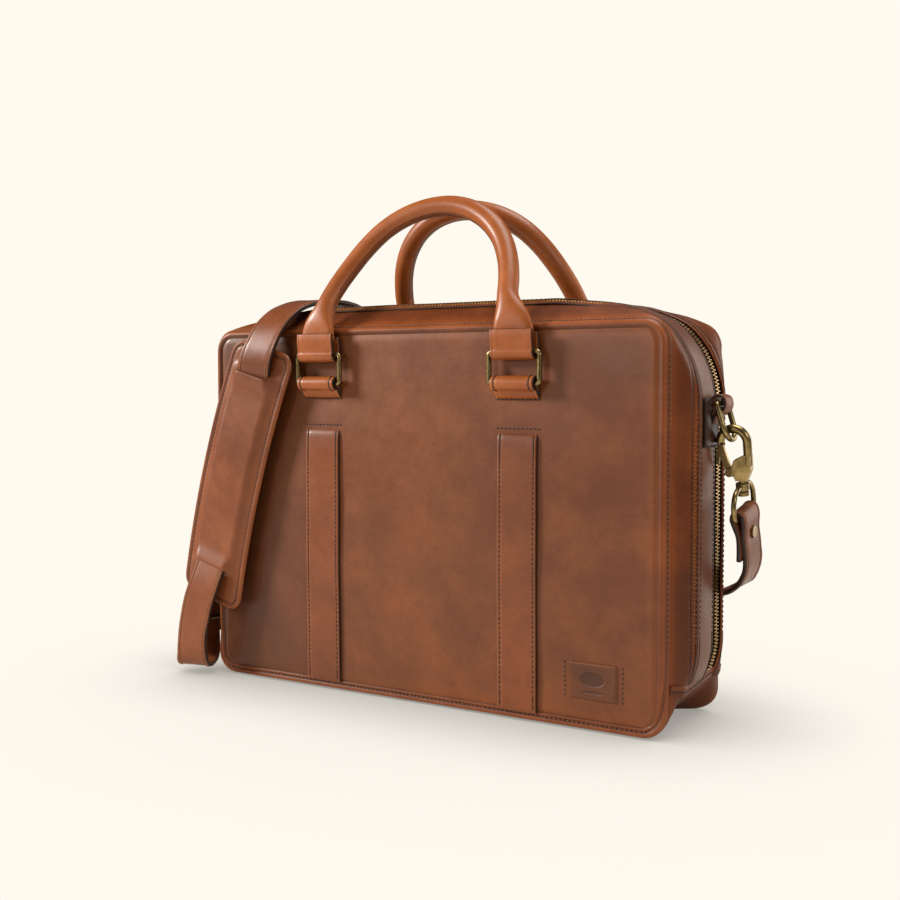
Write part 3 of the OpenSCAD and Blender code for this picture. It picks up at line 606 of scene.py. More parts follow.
tapeStations = [(-27.8, 1, 2.9, 0, 0), (-20.3, 1, 2.9, 0, 0), (-20.3, 1, 3.7, 0, 0), (-27.8, 1, 3.7, 0, 0)]
innerTape = [(-19.7, 1, 2.9, 0, 0), (-8, 1, 2.9, 0, 0), (-8, 1, 3.7, 0, 0), (-19.7, 1, 3.7, 0, 0)]


def smoothStations(stations, steps):
    return [tuple(p) for p in smoothPath(stations, steps)]


for side, word, old in ((1, "front", "front"), (-1, "rear", "back")):
    zipLean = leanBy(4 if side == 1 else -5.5)
    lipLean = None if side == 1 else (lambda line: leanBy(-1.5)(line))
    gusset = bandPiece(f"{word}_gusset_leather", gussetStations, overSeam, leathers["side"], side, 0.35, lipLean)
    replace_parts(gusset, f"{word}_gusset")
    bendOpen(gusset)
    welt = bandPiece(f"{word}_welt", weltStations, ringLine, leathers["welt"], side, low=lowWelt)
    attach(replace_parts(welt, f"{old}_piping"), f"{word}_side")
    tape = bandPiece(f"{word}_zip_tape", tapeStations, overSeam, cloths["zip"], side, shift=zipLean)
    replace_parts(tape, f"{word}_zip_outer_tape")
    bendOpen(tape)
    tape = bandPiece(f"{word}_zip_tape_inside", innerTape, overSeam, cloths["zip"], side, shift=zipLean)
    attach(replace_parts(tape, f"{word}_zip_inner_tape"), "bag")
    flip = np.array([1, side, 1])
    under = 1 - smoothstep(0.004, 0.05, ringLine(0, 0.9 * mm)[:, 1])[:, None]
    seam = ringLine(0, 0.7 * mm) * (1 - under) + ringLine(0, 4.4 * mm) * under
    deep = -47.7 * (1 - under[:, 0]) - 50.1 * under[:, 0]
    face = np.array([0, -1.0, 0]) * (0.35 + 0.6 * under) + outOf(seam) * (1 - under)
    closed = np.vstack([at(seam, deep * mm), at(seam, deep * mm)[:1]])
    stitch(f"{word}_welt_stitches", closed * flip, np.vstack([face, face[:1]]) * flip, lift=0.25, radius=0.36)
    for y, blend, inset in ((-29.9, 0.75, -0.75), (-25.9, 0.96, -0.85)):
        line = overSeam(blend, inset * mm)
        move = lipLean(line) if lipLean else 0
        stitch(f"{word}_gusset_stitches", at(line, y * mm + move) * flip, outOf(line), radius=0.34)

band = bandPiece("middle_band_leather", bandStations, overSeam, leathers["band"], 1, 0.2, leanBy(8))
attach(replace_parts(band, "middle_band"), "bag")
for y in (-11.6, 11.6):
    line = overSeam(1, -0.4 * mm)
    stitch("middle_band_stitches", at(line, y * mm + leanBy(8)(line)), outOf(line), radius=0.34)

# the bottom gusset, one half for each side
# as above, the last number of each station is painted shade where the leather tucks under
underStations = [
    (-46.4, 0, 1.9, 0, 0.6), (-46.0, 0, 0.6, 0.4, 0.2), (-45.2, 0.02, 0.0, 0.9, 0), (-43.2, 0.09, -0.25, 0.6, 0),
    (-39, 0.29, -0.2, 0.15, 0), (-34, 0.55, -0.15, 0, 0), (-29, 0.8, -0.1, 0, 0), (-25, 1, 0, 0, 0),
    (-18, 1, 0, 0, 0), (-12, 1, 0, 0, 0), (-6, 1, 0, 0, 0), (0, 1, 0, 0, 0), (0, 1, 2.2, 0, 0.6),
    (-12, 1, 2.2, 0, 0.6), (-25, 1, 2.2, 0, 0.6), (-34, 0.55, 2.2, 0, 0.6), (-45, 0, 2.4, 0, 0.8)]
seamDip = ([-0.047, -0.024, -0.006, 0.015, 0.026, 0.045], [1.4, -2.2, 0, 2.2, 2.0, 0.6])
for side, word in ((1, "front"), (-1, "rear")):
    under = bandPiece(f"{word}_bottom_leather", underStations, underSeam, leathers["side"], side)
    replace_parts(under, "bottom_gusset")
    bendOpen(under)
    # the folded upper edge of the bottom gusset, sewn over the ends of the gussets, zips and band
    for end in (1, -1):
        edgePoints = []
        for y, blend, inset, rubbed, grooveShade in underStations[2:12]:
            edge = underSeam(blend, (inset - 1.0) * mm)
            x, z = edge[0] if end == 1 else edge[-1]
            edgePoints.append((x, y * mm * side, z))
        edgePoints = smoothPath(edgePoints, 3)
        rows, rub, paint = [], [], []
        # the last column goes into the fold mask: painted shade along the stitch row, and the dark of the painted cut
        # edge on the top rows
        for lift, rise, rubbed, painted in ((-0.6, -7, 0, 0), (0.55, -6.4, 0.3, 0), (0.9, -4.5, 0.1, 0), (0.6, -3.2, 0, 0.5),
                                            (0.9, -1.8, 0.3, 0), (0.9, 0.9, 0.9, 0), (0.3, 1.6, 0.2, 0.8),
                                            (-0.6, 1.5, 0, 1)):
            fall = np.array([end * (lift * 1.0 + min(0, rise) * 0.22), 0, rise + 2.4]) * mm
            dip = np.interp(edgePoints[:, 1], seamDip[0], seamDip[1]) * mm
            rows.append(edgePoints + fall + np.stack([dip * 0, dip * 0, dip], axis=1))
            rub += [rubbed] * len(edgePoints)
            paint += [painted] * len(edgePoints)
        count = len(edgePoints)
        faces = gridFaces(len(rows), count, closeRows=True)
        faces += [tuple(i * count for i in range(len(rows))),
                  tuple(i * count + count - 1 for i in range(len(rows) - 1, -1, -1))]
        edgeName = f"{word}_{'right' if end == 1 else 'left'}_seam_edge"
        edging = outward(addPiece(edgeName, np.concatenate(rows), faces, leathers["side"], {"rub": rub, "fold": paint}))
        bendOpen(edging)
        stitch(f"{word}_seam_stitches", rows[3], (end, 0, 0.3), radius=0.4, lift=0.25)
print("body shell done")


# ---------------------------------------------------------------- panels
panel = {"inset": 6.6 * mm, "thick": 2.4 * mm, "crown": 0.9 * mm, "pulls": ((-87, 231), (87, 231))}


def buildPanel(side, word, old):
    half, low, high, r, top = loopSize(0, panel["inset"])
    arc = r * (1 - np.cos(np.radians(np.linspace(0, 90, 7))))
    zs = np.concatenate([low + arc[:-1], np.linspace(low + r, high - r, 84), (high - arc[:-1])[::-1]])
    us = np.sin(np.linspace(-1, 1, 121) * math.pi / 2 * 0.96) / math.sin(math.pi / 2 * 0.96)
    front, rub, fold = [], [], []
    for z in zs:
        over = max(0, z - (high - r), (low + r) - z)
        wide = half - r + math.sqrt(max(r * r - over * over, 0))
        for u in us:
            x = u * wide
            rim = min(wide - abs(x), z - low, high - z)
            lift = panel["crown"] * smoothstep(0, 0.11, rim) + 0.8 * mm * smoothstep(0, 4.5 * mm, rim) - 0.8 * mm
            p = np.array([x, 0, z])
            lift += waves(p, 0.042) * 0.45 * mm * smoothstep(0, 0.03, rim) + waves(p, 0.013) * 0.08 * mm
            worn = 0.55 * (1 - smoothstep(0, 11 * mm, rim))
            for px, pz in panel["pulls"]:
                away = math.hypot((x - px * mm) / 1.5, z - pz * mm)
                worn += 0.5 * math.exp(-(away / 0.017) ** 2)
                if side == 1:
                    lift -= 0.7 * mm * math.exp(-(away / 0.012) ** 2)
            front.append((x, -(bag["face"] + lift), z))
            # painted shade: to the left, where the pad casts its shadow and the light falls off, the rubbed edges are
            # left out and the fold mask darkens the leather, less so higher up
            rub.append(worn * smoothstep(-0.17, -0.05, x))
            fold.append(0.5 * (1 - smoothstep(-0.17, -0.02, x)) * (1 - 0.6 * smoothstep(0.12, 0.26, z)))
    rows, cols = len(zs), len(us)
    back = [(x, -(bag["face"] - panel["thick"]), z) for x, y, z in front]
    verts = np.array(front + back) * np.array([1, side, 1])
    n = rows * cols
    faces = gridFaces(rows, cols) + [tuple(i + n for i in f[::-1]) for f in gridFaces(rows, cols)]
    rim = [j for j in range(cols)] + [i * cols + cols - 1 for i in range(1, rows)]
    rim += [n - 1 - j for j in range(1, cols)] + [i * cols for i in range(rows - 2, 0, -1)]
    faces += [(a, rim[(k + 1) % len(rim)], rim[(k + 1) % len(rim)] + n, a + n) for k, a in enumerate(rim)]
    piece = outward(addPiece(f"{word}_panel_leather", verts, faces, leathers["body"],
                             {"rub": rub + [0] * n, "fold": fold + [0] * n}))
    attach(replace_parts(piece, f"{old}_panel"), f"{word}_side")


# how far the leather of a panel stands out at x, z
def panelFace(x, z):
    half, low, high, r, top = loopSize(0, panel["inset"])
    rim = min(half - abs(x), z - low, high - z)
    return bag["face"] + panel["crown"] * float(smoothstep(0, 0.11, rim)) + float(waves(np.array([x, 0, z]), 0.042)) * 0.45 * mm


# ---------------------------------------------------------------- strips of leather
# a strip along a route of [x, y, z, turn, roll] in millimetres and degrees, with rubbed rims and painted edges
def stripFrames(route, steps):
    r = smoothPath(route, steps)
    place = r[:, :3] * mm
    along = unit(np.gradient(place, axis=0))
    turn, roll = np.radians(r[:, 3]), np.radians(r[:, 4])
    turned = np.stack([np.cos(turn) * np.cos(roll), np.sin(turn) * np.cos(roll), np.sin(roll)], axis=1)
    across = unit(turned - np.einsum("ij,ij->i", turned, along)[:, None] * along)
    return place, along, across, np.cross(along, across)


def stripProfile(wide, thick, groove):
    h, t = wide / 2, thick / 2
    half = [(h, 0, 0, 1), (h - 0.12, t * 0.55, 0, 1), (h - 0.55, t * 0.9, 0.6, 0.5), (h - 1.3, t, 0.9, 0),
            (h - groove + 0.8, t + 0.02, 0.3, 0), (h - groove, t - 0.22, 0, 0.25), (h - groove - 0.8, t + 0.02, 0.3, 0),
            (h - groove - 3.2, t + 0.08, 0, 0), (0, t + 0.12, 0, 0)]
    top = half + [(-u, v, a, b) for u, v, a, b in half[-2::-1]]
    return top + [(u, -v, a, b) for u, v, a, b in top[-2:0:-1]]


def strip(name, route, wide, thick, material, steps=4, groove=3.0, taper=None):
    place, along, across, face = stripFrames(route, steps)
    profile = stripProfile(wide, thick, groove)
    verts, rub, paint = [], [], []
    for i in range(len(place)):
        scale = 1 if taper is None else taper(i / (len(place) - 1))
        for u, v, rubbed, painted in profile:
            verts.append(place[i] + across[i] * u * scale * mm + face[i] * v * mm)
            rub.append(rubbed)
            paint.append(painted)
    n, k = len(place), len(profile)
    faces = gridFaces(n, k, closeCols=True) + [tuple(range(k)), tuple(range((n - 1) * k, n * k))]
    for end in (0, n - 1):
        for j in range(k):
            paint[end * k + j] = 0.8
    return outward(addPiece(name, verts, faces, material, {"rub": rub, "paint": paint}))


def stripStitches(key, route, wide, thick, groove=3.0, faces=(1, -1), skip=(0, 0), **kind):
    place, along, across, face = stripFrames(route, 4)
    keep = slice(skip[0], len(place) - skip[1])
    for edge in (1, -1):
        for way in faces:
            line = place + across * edge * (wide / 2 - groove) * mm + face * way * (thick / 2 - 0.1) * mm
            stitch(key, line[keep], (face * way)[keep], **kind)


def buildTrims(side, word, old):
    wide, top = 32.4, 204.5
    for s, end in ((-1, "left"), (1, "right")):
        x = s * 87
        zs = [6.5, 9, 20, 60, 100, 140, 180, 198, 202.5, 204.6]
        deep = [0.4, -0.9, -1.15, -1.15, -1.15, -1.15, -1.15, -1.0, -0.1, 1.6]
        route = [[x, -(panelFace(x * mm, z * mm) / mm) + d, z, 0, 0] for z, d in zip(zs, deep)]
        if side == -1:
            route = [[p[0], -p[1], *p[2:]] for p in route]
        piece = strip(f"{word}_{end}_trim", route, wide, 2.3, leathers["strap"], steps=3, groove=2.6)
        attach(piece, f"{word}_side")
        if s == -1:
            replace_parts(piece, f"{old}_trim_straps")
        stripStitches(f"{word}_panel_stitches", route, wide, 2.3, 2.6, faces=(-side,), skip=(5, 5), radius=0.4)
        for z, reach in ((208, 18.5), (228.5, 18.5)):
            line = [(q * mm, -side * (panelFace(q * mm, z * mm)), z * mm) for q in np.linspace(x - reach, x + reach, 24)]
            stitch(f"{word}_panel_stitches", line, (0, -side, 0), pitch=3.3, radius=0.46, lift=0.1)


for side, word, old in ((1, "front", "front"), (-1, "rear", "back")):
    buildPanel(side, word, old)
    buildTrims(side, word, old)
print("panels and trim straps done")


# the loops that hold the handle rings
def buildChapes(side, word, old):
    ringY, ringZ, r = 57, 240, 4.0
    turns = list(range(-110, 141, 18))
    bend = [[-ringY - r * math.cos(math.radians(a)), ringZ + r * math.sin(math.radians(a))] for a in turns]
    profile = [[-49.6, 230.4], [-51.6, 230.9], [-53.6, 233.2]] + bend + [[-52.9, 238.4], [-51.9, 235.0], [-50.0, 232.6]]
    for s, end in ((-1, "left"), (1, "right")):
        route = [[s * 87, side * y, z, 0, 0] for y, z in profile]
        piece = strip(f"{word}_{end}_chape", route, 35, 2.8, leathers["edge"], steps=3, groove=3.4)
        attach(piece, f"{word}_side")
        if s == -1:
            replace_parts(piece, f"{old}_chapes")
        inner = route[3:-4]
        stripStitches(f"{word}_chape_stitches", inner, 35, 2.8, 3.4, faces=(-side,), radius=0.38, pitch=3.2, long=2.2)


# ---------------------------------------------------------------- handles
grip = {"legX": 87, "ringY": 57, "barZ": 262, "arch": 121, "lean": 20.8, "radius": 7.5, "tongue": 16.8}


def buildHandle(side, word):
    leg, high = grip["legX"], grip["arch"]
    share = [(leg, 0.066), (leg, 0.10), (leg - 1, 0.2), (leg - 3.2, 0.33), (leg - 7, 0.46), (leg - 13.5, 0.6),
             (leg - 23, 0.735), (leg - 36, 0.85), (leg - 52, 0.935), (leg - 69, 0.983)]
    stand = [8 * float(smoothstep(0.02, 0.16, z)) * (1 - float(smoothstep(0.2, 0.75, z))) for x, z in share]
    # wear has pulled one leg of each arch a little inward
    pulled = [1 - 0.075 * float(smoothstep(0.1, 0.35, z)) for x, z in share]
    ends = [pulled, [1] * len(share)][::side]
    points = [(-x * k, -d, z * high) for (x, z), d, k in zip(share, stand, ends[1])] + [(0, 0, high)]
    points += [(x * k, -d, z * high) for (x, z), d, k in zip(share, stand, ends[0])][::-1]
    p = smoothPath(points, 5)
    lean = math.radians(grip["lean"])
    turn = np.array([[1, 0, 0], [0, math.cos(lean), math.sin(lean)], [0, -math.sin(lean), math.cos(lean)]])
    origin = np.array([0, -grip["ringY"], grip["barZ"]])
    flip = np.array([1, side, 1])

    def placed(q):
        return (np.asarray(q, float) @ turn.T + origin) * mm * flip

    def facing(q):
        return np.asarray(q, float) @ turn.T * flip

    along = unit(np.gradient(p, axis=0))
    across = np.cross(along, np.array([0, 1.0, 0]))
    sides = 40
    verts, rub, fold = [], [], []
    for i, q in enumerate(p):
        s = float(smoothstep(0.06, 0.36, q[2] / high))
        wide = grip["tongue"] + (grip["radius"] - grip["tongue"]) * s
        deep = 3.3 + (grip["radius"] - 3.3) * s
        power = 0.42 + 0.58 * s
        for j in range(sides):
            a = 2 * math.pi * j / sides
            c, d = math.cos(a), math.sin(a)
            u = math.copysign(abs(c) ** power, c) * wide
            v = math.copysign(abs(d) ** (0.7 + 0.3 * s), d) * deep
            # the seam where the rolled leather meets, on the inner side of the arch
            near = math.exp(-((a - math.pi) / 0.16) ** 2) * s
            ridge = math.exp(-((abs(a - math.pi) - 0.42) / 0.12) ** 2) * s
            u -= near * 0.7 - ridge * -0.45
            verts.append(q + across[i] * u + np.array([0, 1, 0]) * v)
            rub.append(0.25 + 0.6 * abs(c) ** 6 * (1 - s) + 0.35 * ridge)
            # painted shade in the groove of the seam
            fold.append(0.8 * near)
    n = len(p)
    faces = gridFaces(n, sides, closeCols=True) + [tuple(range(sides)), tuple(range((n - 1) * sides, n * sides))]
    cover = outward(addPiece(f"{word}_handle_leather", placed(verts), faces, leathers["edge"],
                             {"rub": rub, "fold": fold}))
    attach(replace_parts(cover, f"{word}_handle_cover"), f"{word}_handle")
    run = [i for i, q in enumerate(p) if q[2] > 0.3 * high]
    turns = [math.radians(360 * j / 12) for j in range(12)]
    verts = [p[i] + across[i] * 4.6 * math.cos(a) + np.array([0, 4.6 * math.sin(a), 0]) for i in run for a in turns]
    faces = gridFaces(len(run), 12, closeCols=True) + [tuple(range(12)), tuple(range(len(verts) - 12, len(verts)))]
    rope = outward(addPiece(f"{word}_handle_rope", placed(verts), faces, cloths["rope"]))
    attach(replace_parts(rope, f"{word}_handle_core"), f"{word}_handle")
    for s, end in ((-1, "left"), (1, "right")):
        turns = range(-10, 191, 20)
        bend = [(4.0 * math.cos(math.radians(a)), -4.0 * math.sin(math.radians(a))) for a in turns]
        route = [(-1.6, 13.5), (1.8, 9.5), (3.7, 4.5)] + bend + [(-6.0, 4.5), (-8.4, 9.5), (-9.6, 13.5)]
        local = np.array([[s * leg, y, z] for y, z in route])
        world = placed(local) / mm
        points = [[*q, 0, 0] for q in world]
        fold = strip(f"{word}_{end}_handle_fold", points, 2 * grip["tongue"] + 0.6, 2.8, leathers["edge"], steps=3,
                     groove=2.4)
        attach(fold, f"{word}_handle")
        for way in (1, -1):
            row = placed([[s * leg + q, way * 5.1 - 3.3, 9.2] for q in np.linspace(-14.5, 14.5, 20)])
            stitch(f"{word}_handle_stitches", row, facing([0, way, 0]), pitch=3.2, radius=0.46, lift=0.15)
        seamLine = [q + across[i] * (-grip["radius"] + 0.1) for i, q in enumerate(p)
                    if q[2] > 0.42 * high and s * q[0] >= 0]
        if len(seamLine) > 2:
            ups = [-across[i] for i, q in enumerate(p) if q[2] > 0.42 * high and s * q[0] >= 0]
            for drift in (2.6, -2.6):
                row = placed([q + np.array([0, drift, 0]) + u * -0.35 for q, u in zip(seamLine, ups)])
                stitch(f"{word}_handle_stitches", row, facing(np.array(ups)), radius=0.34)


for side, word, old in ((1, "front", "front"), (-1, "rear", "back")):
    buildChapes(side, word, old)
    buildHandle(side, word)
print("handles done")


# ---------------------------------------------------------------- zip teeth
tooth = {"pitch": 2.5, "long": 4.5, "thick": 1.25, "tall": 1.9}


def teethRow(name, node, side, inner):
    line = overSeam(1, 1.6 * mm)
    rows = spaced(at(line, leanBy(4 if side == 1 else -5.5)(line)), tooth["pitch"] / 2 * mm)[(0 if inner else 1)::2]
    along = unit(np.gradient(rows, axis=0))
    along[:, 1] = 0
    along = unit(along)
    out = unit(np.cross(along, np.array([0, 1.0, 0])))
    flat = np.stack([rows[:, 0], rows[:, 2]], axis=1)
    out = out * np.sign(np.einsum("ij,ij->i", out, outOf(flat)))[:, None]
    way = 1 if inner else -1
    # a tooth seen from above: a narrow head that meshes and a wide foot on the tape
    plan = [(-0.7, 0.42), (0.1, 0.5), (0.7, 0.36), (1.6, 0.5), (3.4, 0.5), (3.8, 0.4)]
    verts, faces = [], []
    for i in range(len(rows)):
        first = len(verts)
        for y, half in plan:
            for u, v in ((-half, 0), (-half, 0.75), (-half * 0.6, 1), (half * 0.6, 1), (half, 0.75), (half, 0)):
                spot = rows[i] + along[i] * u * tooth["thick"] * mm + out[i] * (v - 0.35) * tooth["tall"] * mm
                verts.append((spot[0], side * (spot[1] + (-20 + way * y) * mm), spot[2]))
        faces += gridFaces(len(plan), 6, first, closeCols=True)
        faces += [tuple(range(first, first + 6)), tuple(range(first + 30, first + 36))]
    piece = outward(addPiece(name, verts, faces, teethBrass))
    piece.data.polygons.foreach_set("use_smooth", [False] * len(piece.data.polygons))
    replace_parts(piece, node)
    return piece


for side, word in ((1, "front"), (-1, "rear")):
    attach(teethRow(f"{word}_inner_teeth", f"{word}_zip_inner_teeth", side, True), "bag")
    bendOpen(teethRow(f"{word}_outer_teeth", f"{word}_zip_outer_teeth", side, False))
print("zip teeth done")


# ---------------------------------------------------------------- patch
def buildPatch():
    left, right, low, high = 128.5, 165, 22, 47.6
    nu, nv = 74, 52
    verts, rub, fold = [], [], []
    for j in range(nv):
        for i in range(nu):
            u, v = i / (nu - 1), j / (nv - 1)
            x, z = left + (right - left) * u, low + (high - low) * v
            rim = min(x - left, right - x) / 1.2
            rimZ = min(z - low, high - z) / 1.0
            lift = 1.5 * float(smoothstep(0, 1, rim)) * (0.55 + 0.45 * float(smoothstep(0, 1, rimZ))) - 0.2
            # a plain pressed oval with a bar under it
            away = math.hypot((x - 146.8) / 10.0, (z - 36.2) / 5.6)
            press = 0.5 * float(1 - smoothstep(0.82, 0.98, away))
            bar = 0.4 * float(1 - smoothstep(7.5, 8.2, abs(x - 146.8))) * float(1 - smoothstep(0.5, 1.1, abs(z - 27.2)))
            verts.append((x * mm, -(panelFace(x * mm, z * mm) + (lift - press - bar) * mm), z * mm))
            rub.append(0.7 * (1 - float(smoothstep(0, 2.2, min(rim * 1.2, rimZ)))))
            fold.append(min(1.0, 0.62 * (press / 0.5) + 0.5 * (bar / 0.4)))
    n = nu * nv
    verts += [(x, -(bag["face"] - 0.4 * mm), z) for x, y, z in verts]
    faces = gridFaces(nv, nu) + [tuple(i + n for i in f[::-1]) for f in gridFaces(nv, nu)]
    rim = list(range(nu)) + [i * nu + nu - 1 for i in range(1, nv)] + [n - 1 - j for j in range(1, nu)]
    rim += [i * nu for i in range(nv - 2, 0, -1)]
    faces += [(a, rim[(k + 1) % len(rim)], rim[(k + 1) % len(rim)] + n, a + n) for k, a in enumerate(rim)]
    piece = outward(addPiece("sewn_patch", verts, faces, leathers["patch"], {"rub": rub + [0] * n, "fold": fold + [0] * n}))
    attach(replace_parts(piece, "leather_patch"), "front_side")
    for x in (left - 3.6, right + 3.8):
        line = [(x * mm, -panelFace(x * mm, z * mm), z * mm) for z in np.linspace(low - 0.5, high + 0.5, 18)]
        stitch("front_panel_stitches", line, (0, -1, 0), pitch=3.0, long=2.2, radius=0.42, lift=0.1)


buildPatch()


# ---------------------------------------------------------------- side tabs
def buildTab(s, word):
    base = [[213.2, 196.5], [213.2, 203], [213.2, 214], [213.0, 230]]
    loop = [[213.8, 227.5], [215.0, 230.6], [218.2, 231.6], [221.6, 230.3], [223.0, 226.6], [222.2, 222.6],
            [219.4, 219.6], [216.0, 217.6], [214.4, 214.0]]
    wideRoute = [[s * x, -6.5 if s == 1 else 0, z, 90, 0] for x, z in base]
    # the tab base takes the near-black leather, painted shade
    tab = strip(f"{word}_tab_base", wideRoute, 25, 1.9, leathers["tab"], steps=3, groove=2.4)
    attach(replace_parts(tab, f"{word}_side_tab"), "bag")
    stripStitches("tab_stitches", wideRoute, 25, 1.9, 2.4, faces=(-s,), radius=0.36)
    fold = strip(f"{word}_tab_loop", [[s * x, 0, z, 90, 0] for x, z in [[214.0, 212], [213.8, 220]] + loop], 15.5, 2.0,
                 leathers["strap"], steps=4, groove=2.2)
    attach(fold, "bag")


for s, word in ((-1, "left"), (1, "right")):
    buildTab(s, word)
print("patch and side tabs done")

# ---------------------------------------------------------------- shoulder strap
# the way the strap lies, the same points as its solids have: [x, y, z, turn, roll]
strapWay = {
    "rightEnd": [[230.2, 17.2, 121, 90, 12], [230.9, 15.2, 130, 90, 12], [230.7, 13.8, 138, 90, 12],
                 [228.3, 12.2, 145.5, 90, 12], [227.1, 11.2, 150, 90, 12], [228.3, 10.6, 152.8, 90, 12],
                 [231, 10.3, 153.9, 90, 12], [233.7, 10.6, 152.8, 90, 12], [234.9, 11.2, 150, 90, 12],
                 [235.2, 12.2, 145.5, 90, 12], [234.4, 13.8, 138, 90, 12], [234.8, 16.5, 127, 90, 10],
                 [233, 22, 116, 92, 7], [228, 30, 107, 94, 4], [221, 39.5, 100, 95, 2]],
    "back": [[213.5, 51, 95, 95, 1], [204, 67.5, 90, 92, 0], [190, 73.5, 83, 90, 0], [160, 75, 72, 90, 0],
             [122, 76, 64, 90, 0], [84, 76, 60, 90, 0], [44, 76, 64, 88, 0], [4, 75, 78, 84, 0],
             [-34, 73, 103, 72, 0], [-68, 70, 142, 52, 0], [-99, 65, 186, 26, 0], [-124, 60.5, 226, 8, 0],
             [-129.8, 57.5, 260, 2, 0], [-129.5, 55.6, 281, 0, 0], [-129.5, 47.5, 298, 0, 0],
             [-129, 34, 304.5, 0, 0], [-128.5, 20, 306.8, 0, 0], [-128.2, 10, 307.2, 0, 0],
             [-128, 0.02, 307.2, 0, 0]],
    "front": [[-128, -0.02, 307.2, 0, 0], [-127.7, -10, 306.8, 0, 0], [-127.5, -19.5, 305.8, 0, 0],
              [-127.6, -34, 302.6, 0, 0], [-129, -48.5, 296.5, 0, 0], [-132, -61, 285, 0, 0],
              [-136.5, -67.5, 270, 0, 0], [-140.8, -69, 258, 0, 0], [-144.4, -67, 248, 0, 0],
              [-147.5, -63.6, 238, 0, 0]],
    "low": [[-187, -64.2, 105, 0, 0], [-190.4, -67.4, 94, 0, 0], [-194.5, -70.6, 80, 0, 0],
            [-198, -72, 70, 0, 0], [-201, -72.8, 61, 0, 0], [-203.6, -73.4, 50, 0, 0],
            [-206.6, -73.8, 36, -2, 0], [-208.2, -73, 22, 0, 0], [-210.5, -69, 11, 6, 0],
            [-214, -61.5, 7.3, 22, 0], [-218, -53.5, 11, 46, 0], [-221, -47, 19, 66, 0],
            [-222.3, -43.4, 28, 80, 0], [-222.3, -43.4, 46, 80, 0], [-222.5, -42.8, 74, 80, 0],
            [-224.5, -39, 92, 82, 0], [-230, -26.5, 110, 85, -3], [-233.6, -15, 125, 88, -6],
            [-234.4, -9.6, 138, 90, -8], [-235.2, -8.2, 145.5, 90, -8], [-234.9, -7.6, 149.6, 90, -8],
            [-233.7, -7.1, 152.4, 90, -8], [-231, -6.9, 153.5, 90, -8], [-228.3, -7.1, 152.4, 90, -8],
            [-227.1, -7.6, 149.6, 90, -8], [-228.3, -8.2, 145.5, 90, -8], [-230.7, -9.6, 138, 90, -8],
            [-230.6, -10.8, 130, 90, -8]],
}
strapCut = {"wide": 31, "thick": 3.4, "groove": 2.8}


def routeLength(route):
    line = smoothPath(route, 4)[:, :3] * mm
    return float(np.linalg.norm(np.diff(line, axis=0), axis=1).sum())


def strapLength(name, route, nodes):
    piece = strip(name, route, strapCut["wide"], strapCut["thick"], leathers["strap"], groove=strapCut["groove"])
    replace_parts(piece, *nodes)
    routeLength(route)
    return piece


# the side of the bag that each of the strap's parts lies on, with a start and an end point
strapBends = {
    "rear": ("rear_side", Vector((0, 15, 0)) * mm, Vector((0, 58, 0)) * mm),
    "front": ("front_side", Vector((0, -14, 0)) * mm, Vector((0, -50, 0)) * mm),
    "low": ("front_side", Vector((0, -40.5, 0)) * mm, Vector((0, -84.1, 13.1)) * mm),
}
strapParts = (
    ("strap_behind", strapWay["rightEnd"] + strapWay["back"], "rear", ("strap_right_end", "strap_back", "strap_over_top")),
    ("strap_before", strapWay["front"], "front", ("strap_front",)),
    ("strap_below", strapWay["low"], "low", ("strap_left_loop",)),
)
for name, route, way, nodes in strapParts:
    piece = strapLength(name, route, nodes)
    body, start, end = strapBends[way]
    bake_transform(piece)
    stripStitches(f"{name}_stitches", route, strapCut["wide"], strapCut["thick"], strapCut["groove"],
                  skip=(2, 2), pitch=3.9, radius=0.4)
print("strap done")


# ---------------------------------------------------------------- shoulder pad
pad = {"middle": (-167.5, -62, 166), "tilt": 16.3, "wide": 63, "long": 216, "round": 13, "bow": 5,
       "slots": (84.7, -77.8), "slotHalf": 16.5}


# how thick the pad stands at u across and v along, on its outer face
def padLift(u, v, outer=True):
    h, l, r = pad["wide"] / 2, pad["long"] / 2, pad["round"]
    cu, cv = max(0, abs(u) - (h - r)), max(0, abs(v) - (l - r))
    rim = r - math.hypot(cu, cv) if cu > 0 and cv > 0 else min(h - abs(u), l - abs(v))
    edge = 1.9 * float(smoothstep(-0.2, 1.3, rim))
    groove = 0.75 * math.exp(-((rim - 4.4) / 0.8) ** 2)
    if not outer:
        return edge - groove * 0.6 + 1.4 * float(smoothstep(5, 16, rim))
    inside = float(smoothstep(5.2, 15, min(h - abs(u), 99)))
    high, low = pad["slots"]
    span = float(smoothstep(low - 6, low + 1, v)) * float(smoothstep(-high - 7, -high + 1.5, -v))
    puff = 4.0 * inside * span
    # the mouths of the two slots that the strap goes through
    upper = 3.6 * math.exp(-((v - high + 1.3) / 8.0) ** 2) * float(smoothstep(-high - 0.8, -high + 1, -v))
    lower = 3.6 * math.exp(-((v - low - 1.3) / 8.0) ** 2) * float(smoothstep(low - 0.8, low + 1, v))
    mouth = (upper + lower) * float(1 - smoothstep(13.5, 20, abs(u)))
    soft = 0.35 * math.sin(v * 0.05 + 1) + 0.2 * math.sin(v * 0.13 + u * 0.1)
    return edge - groove + puff + mouth + soft * inside * span


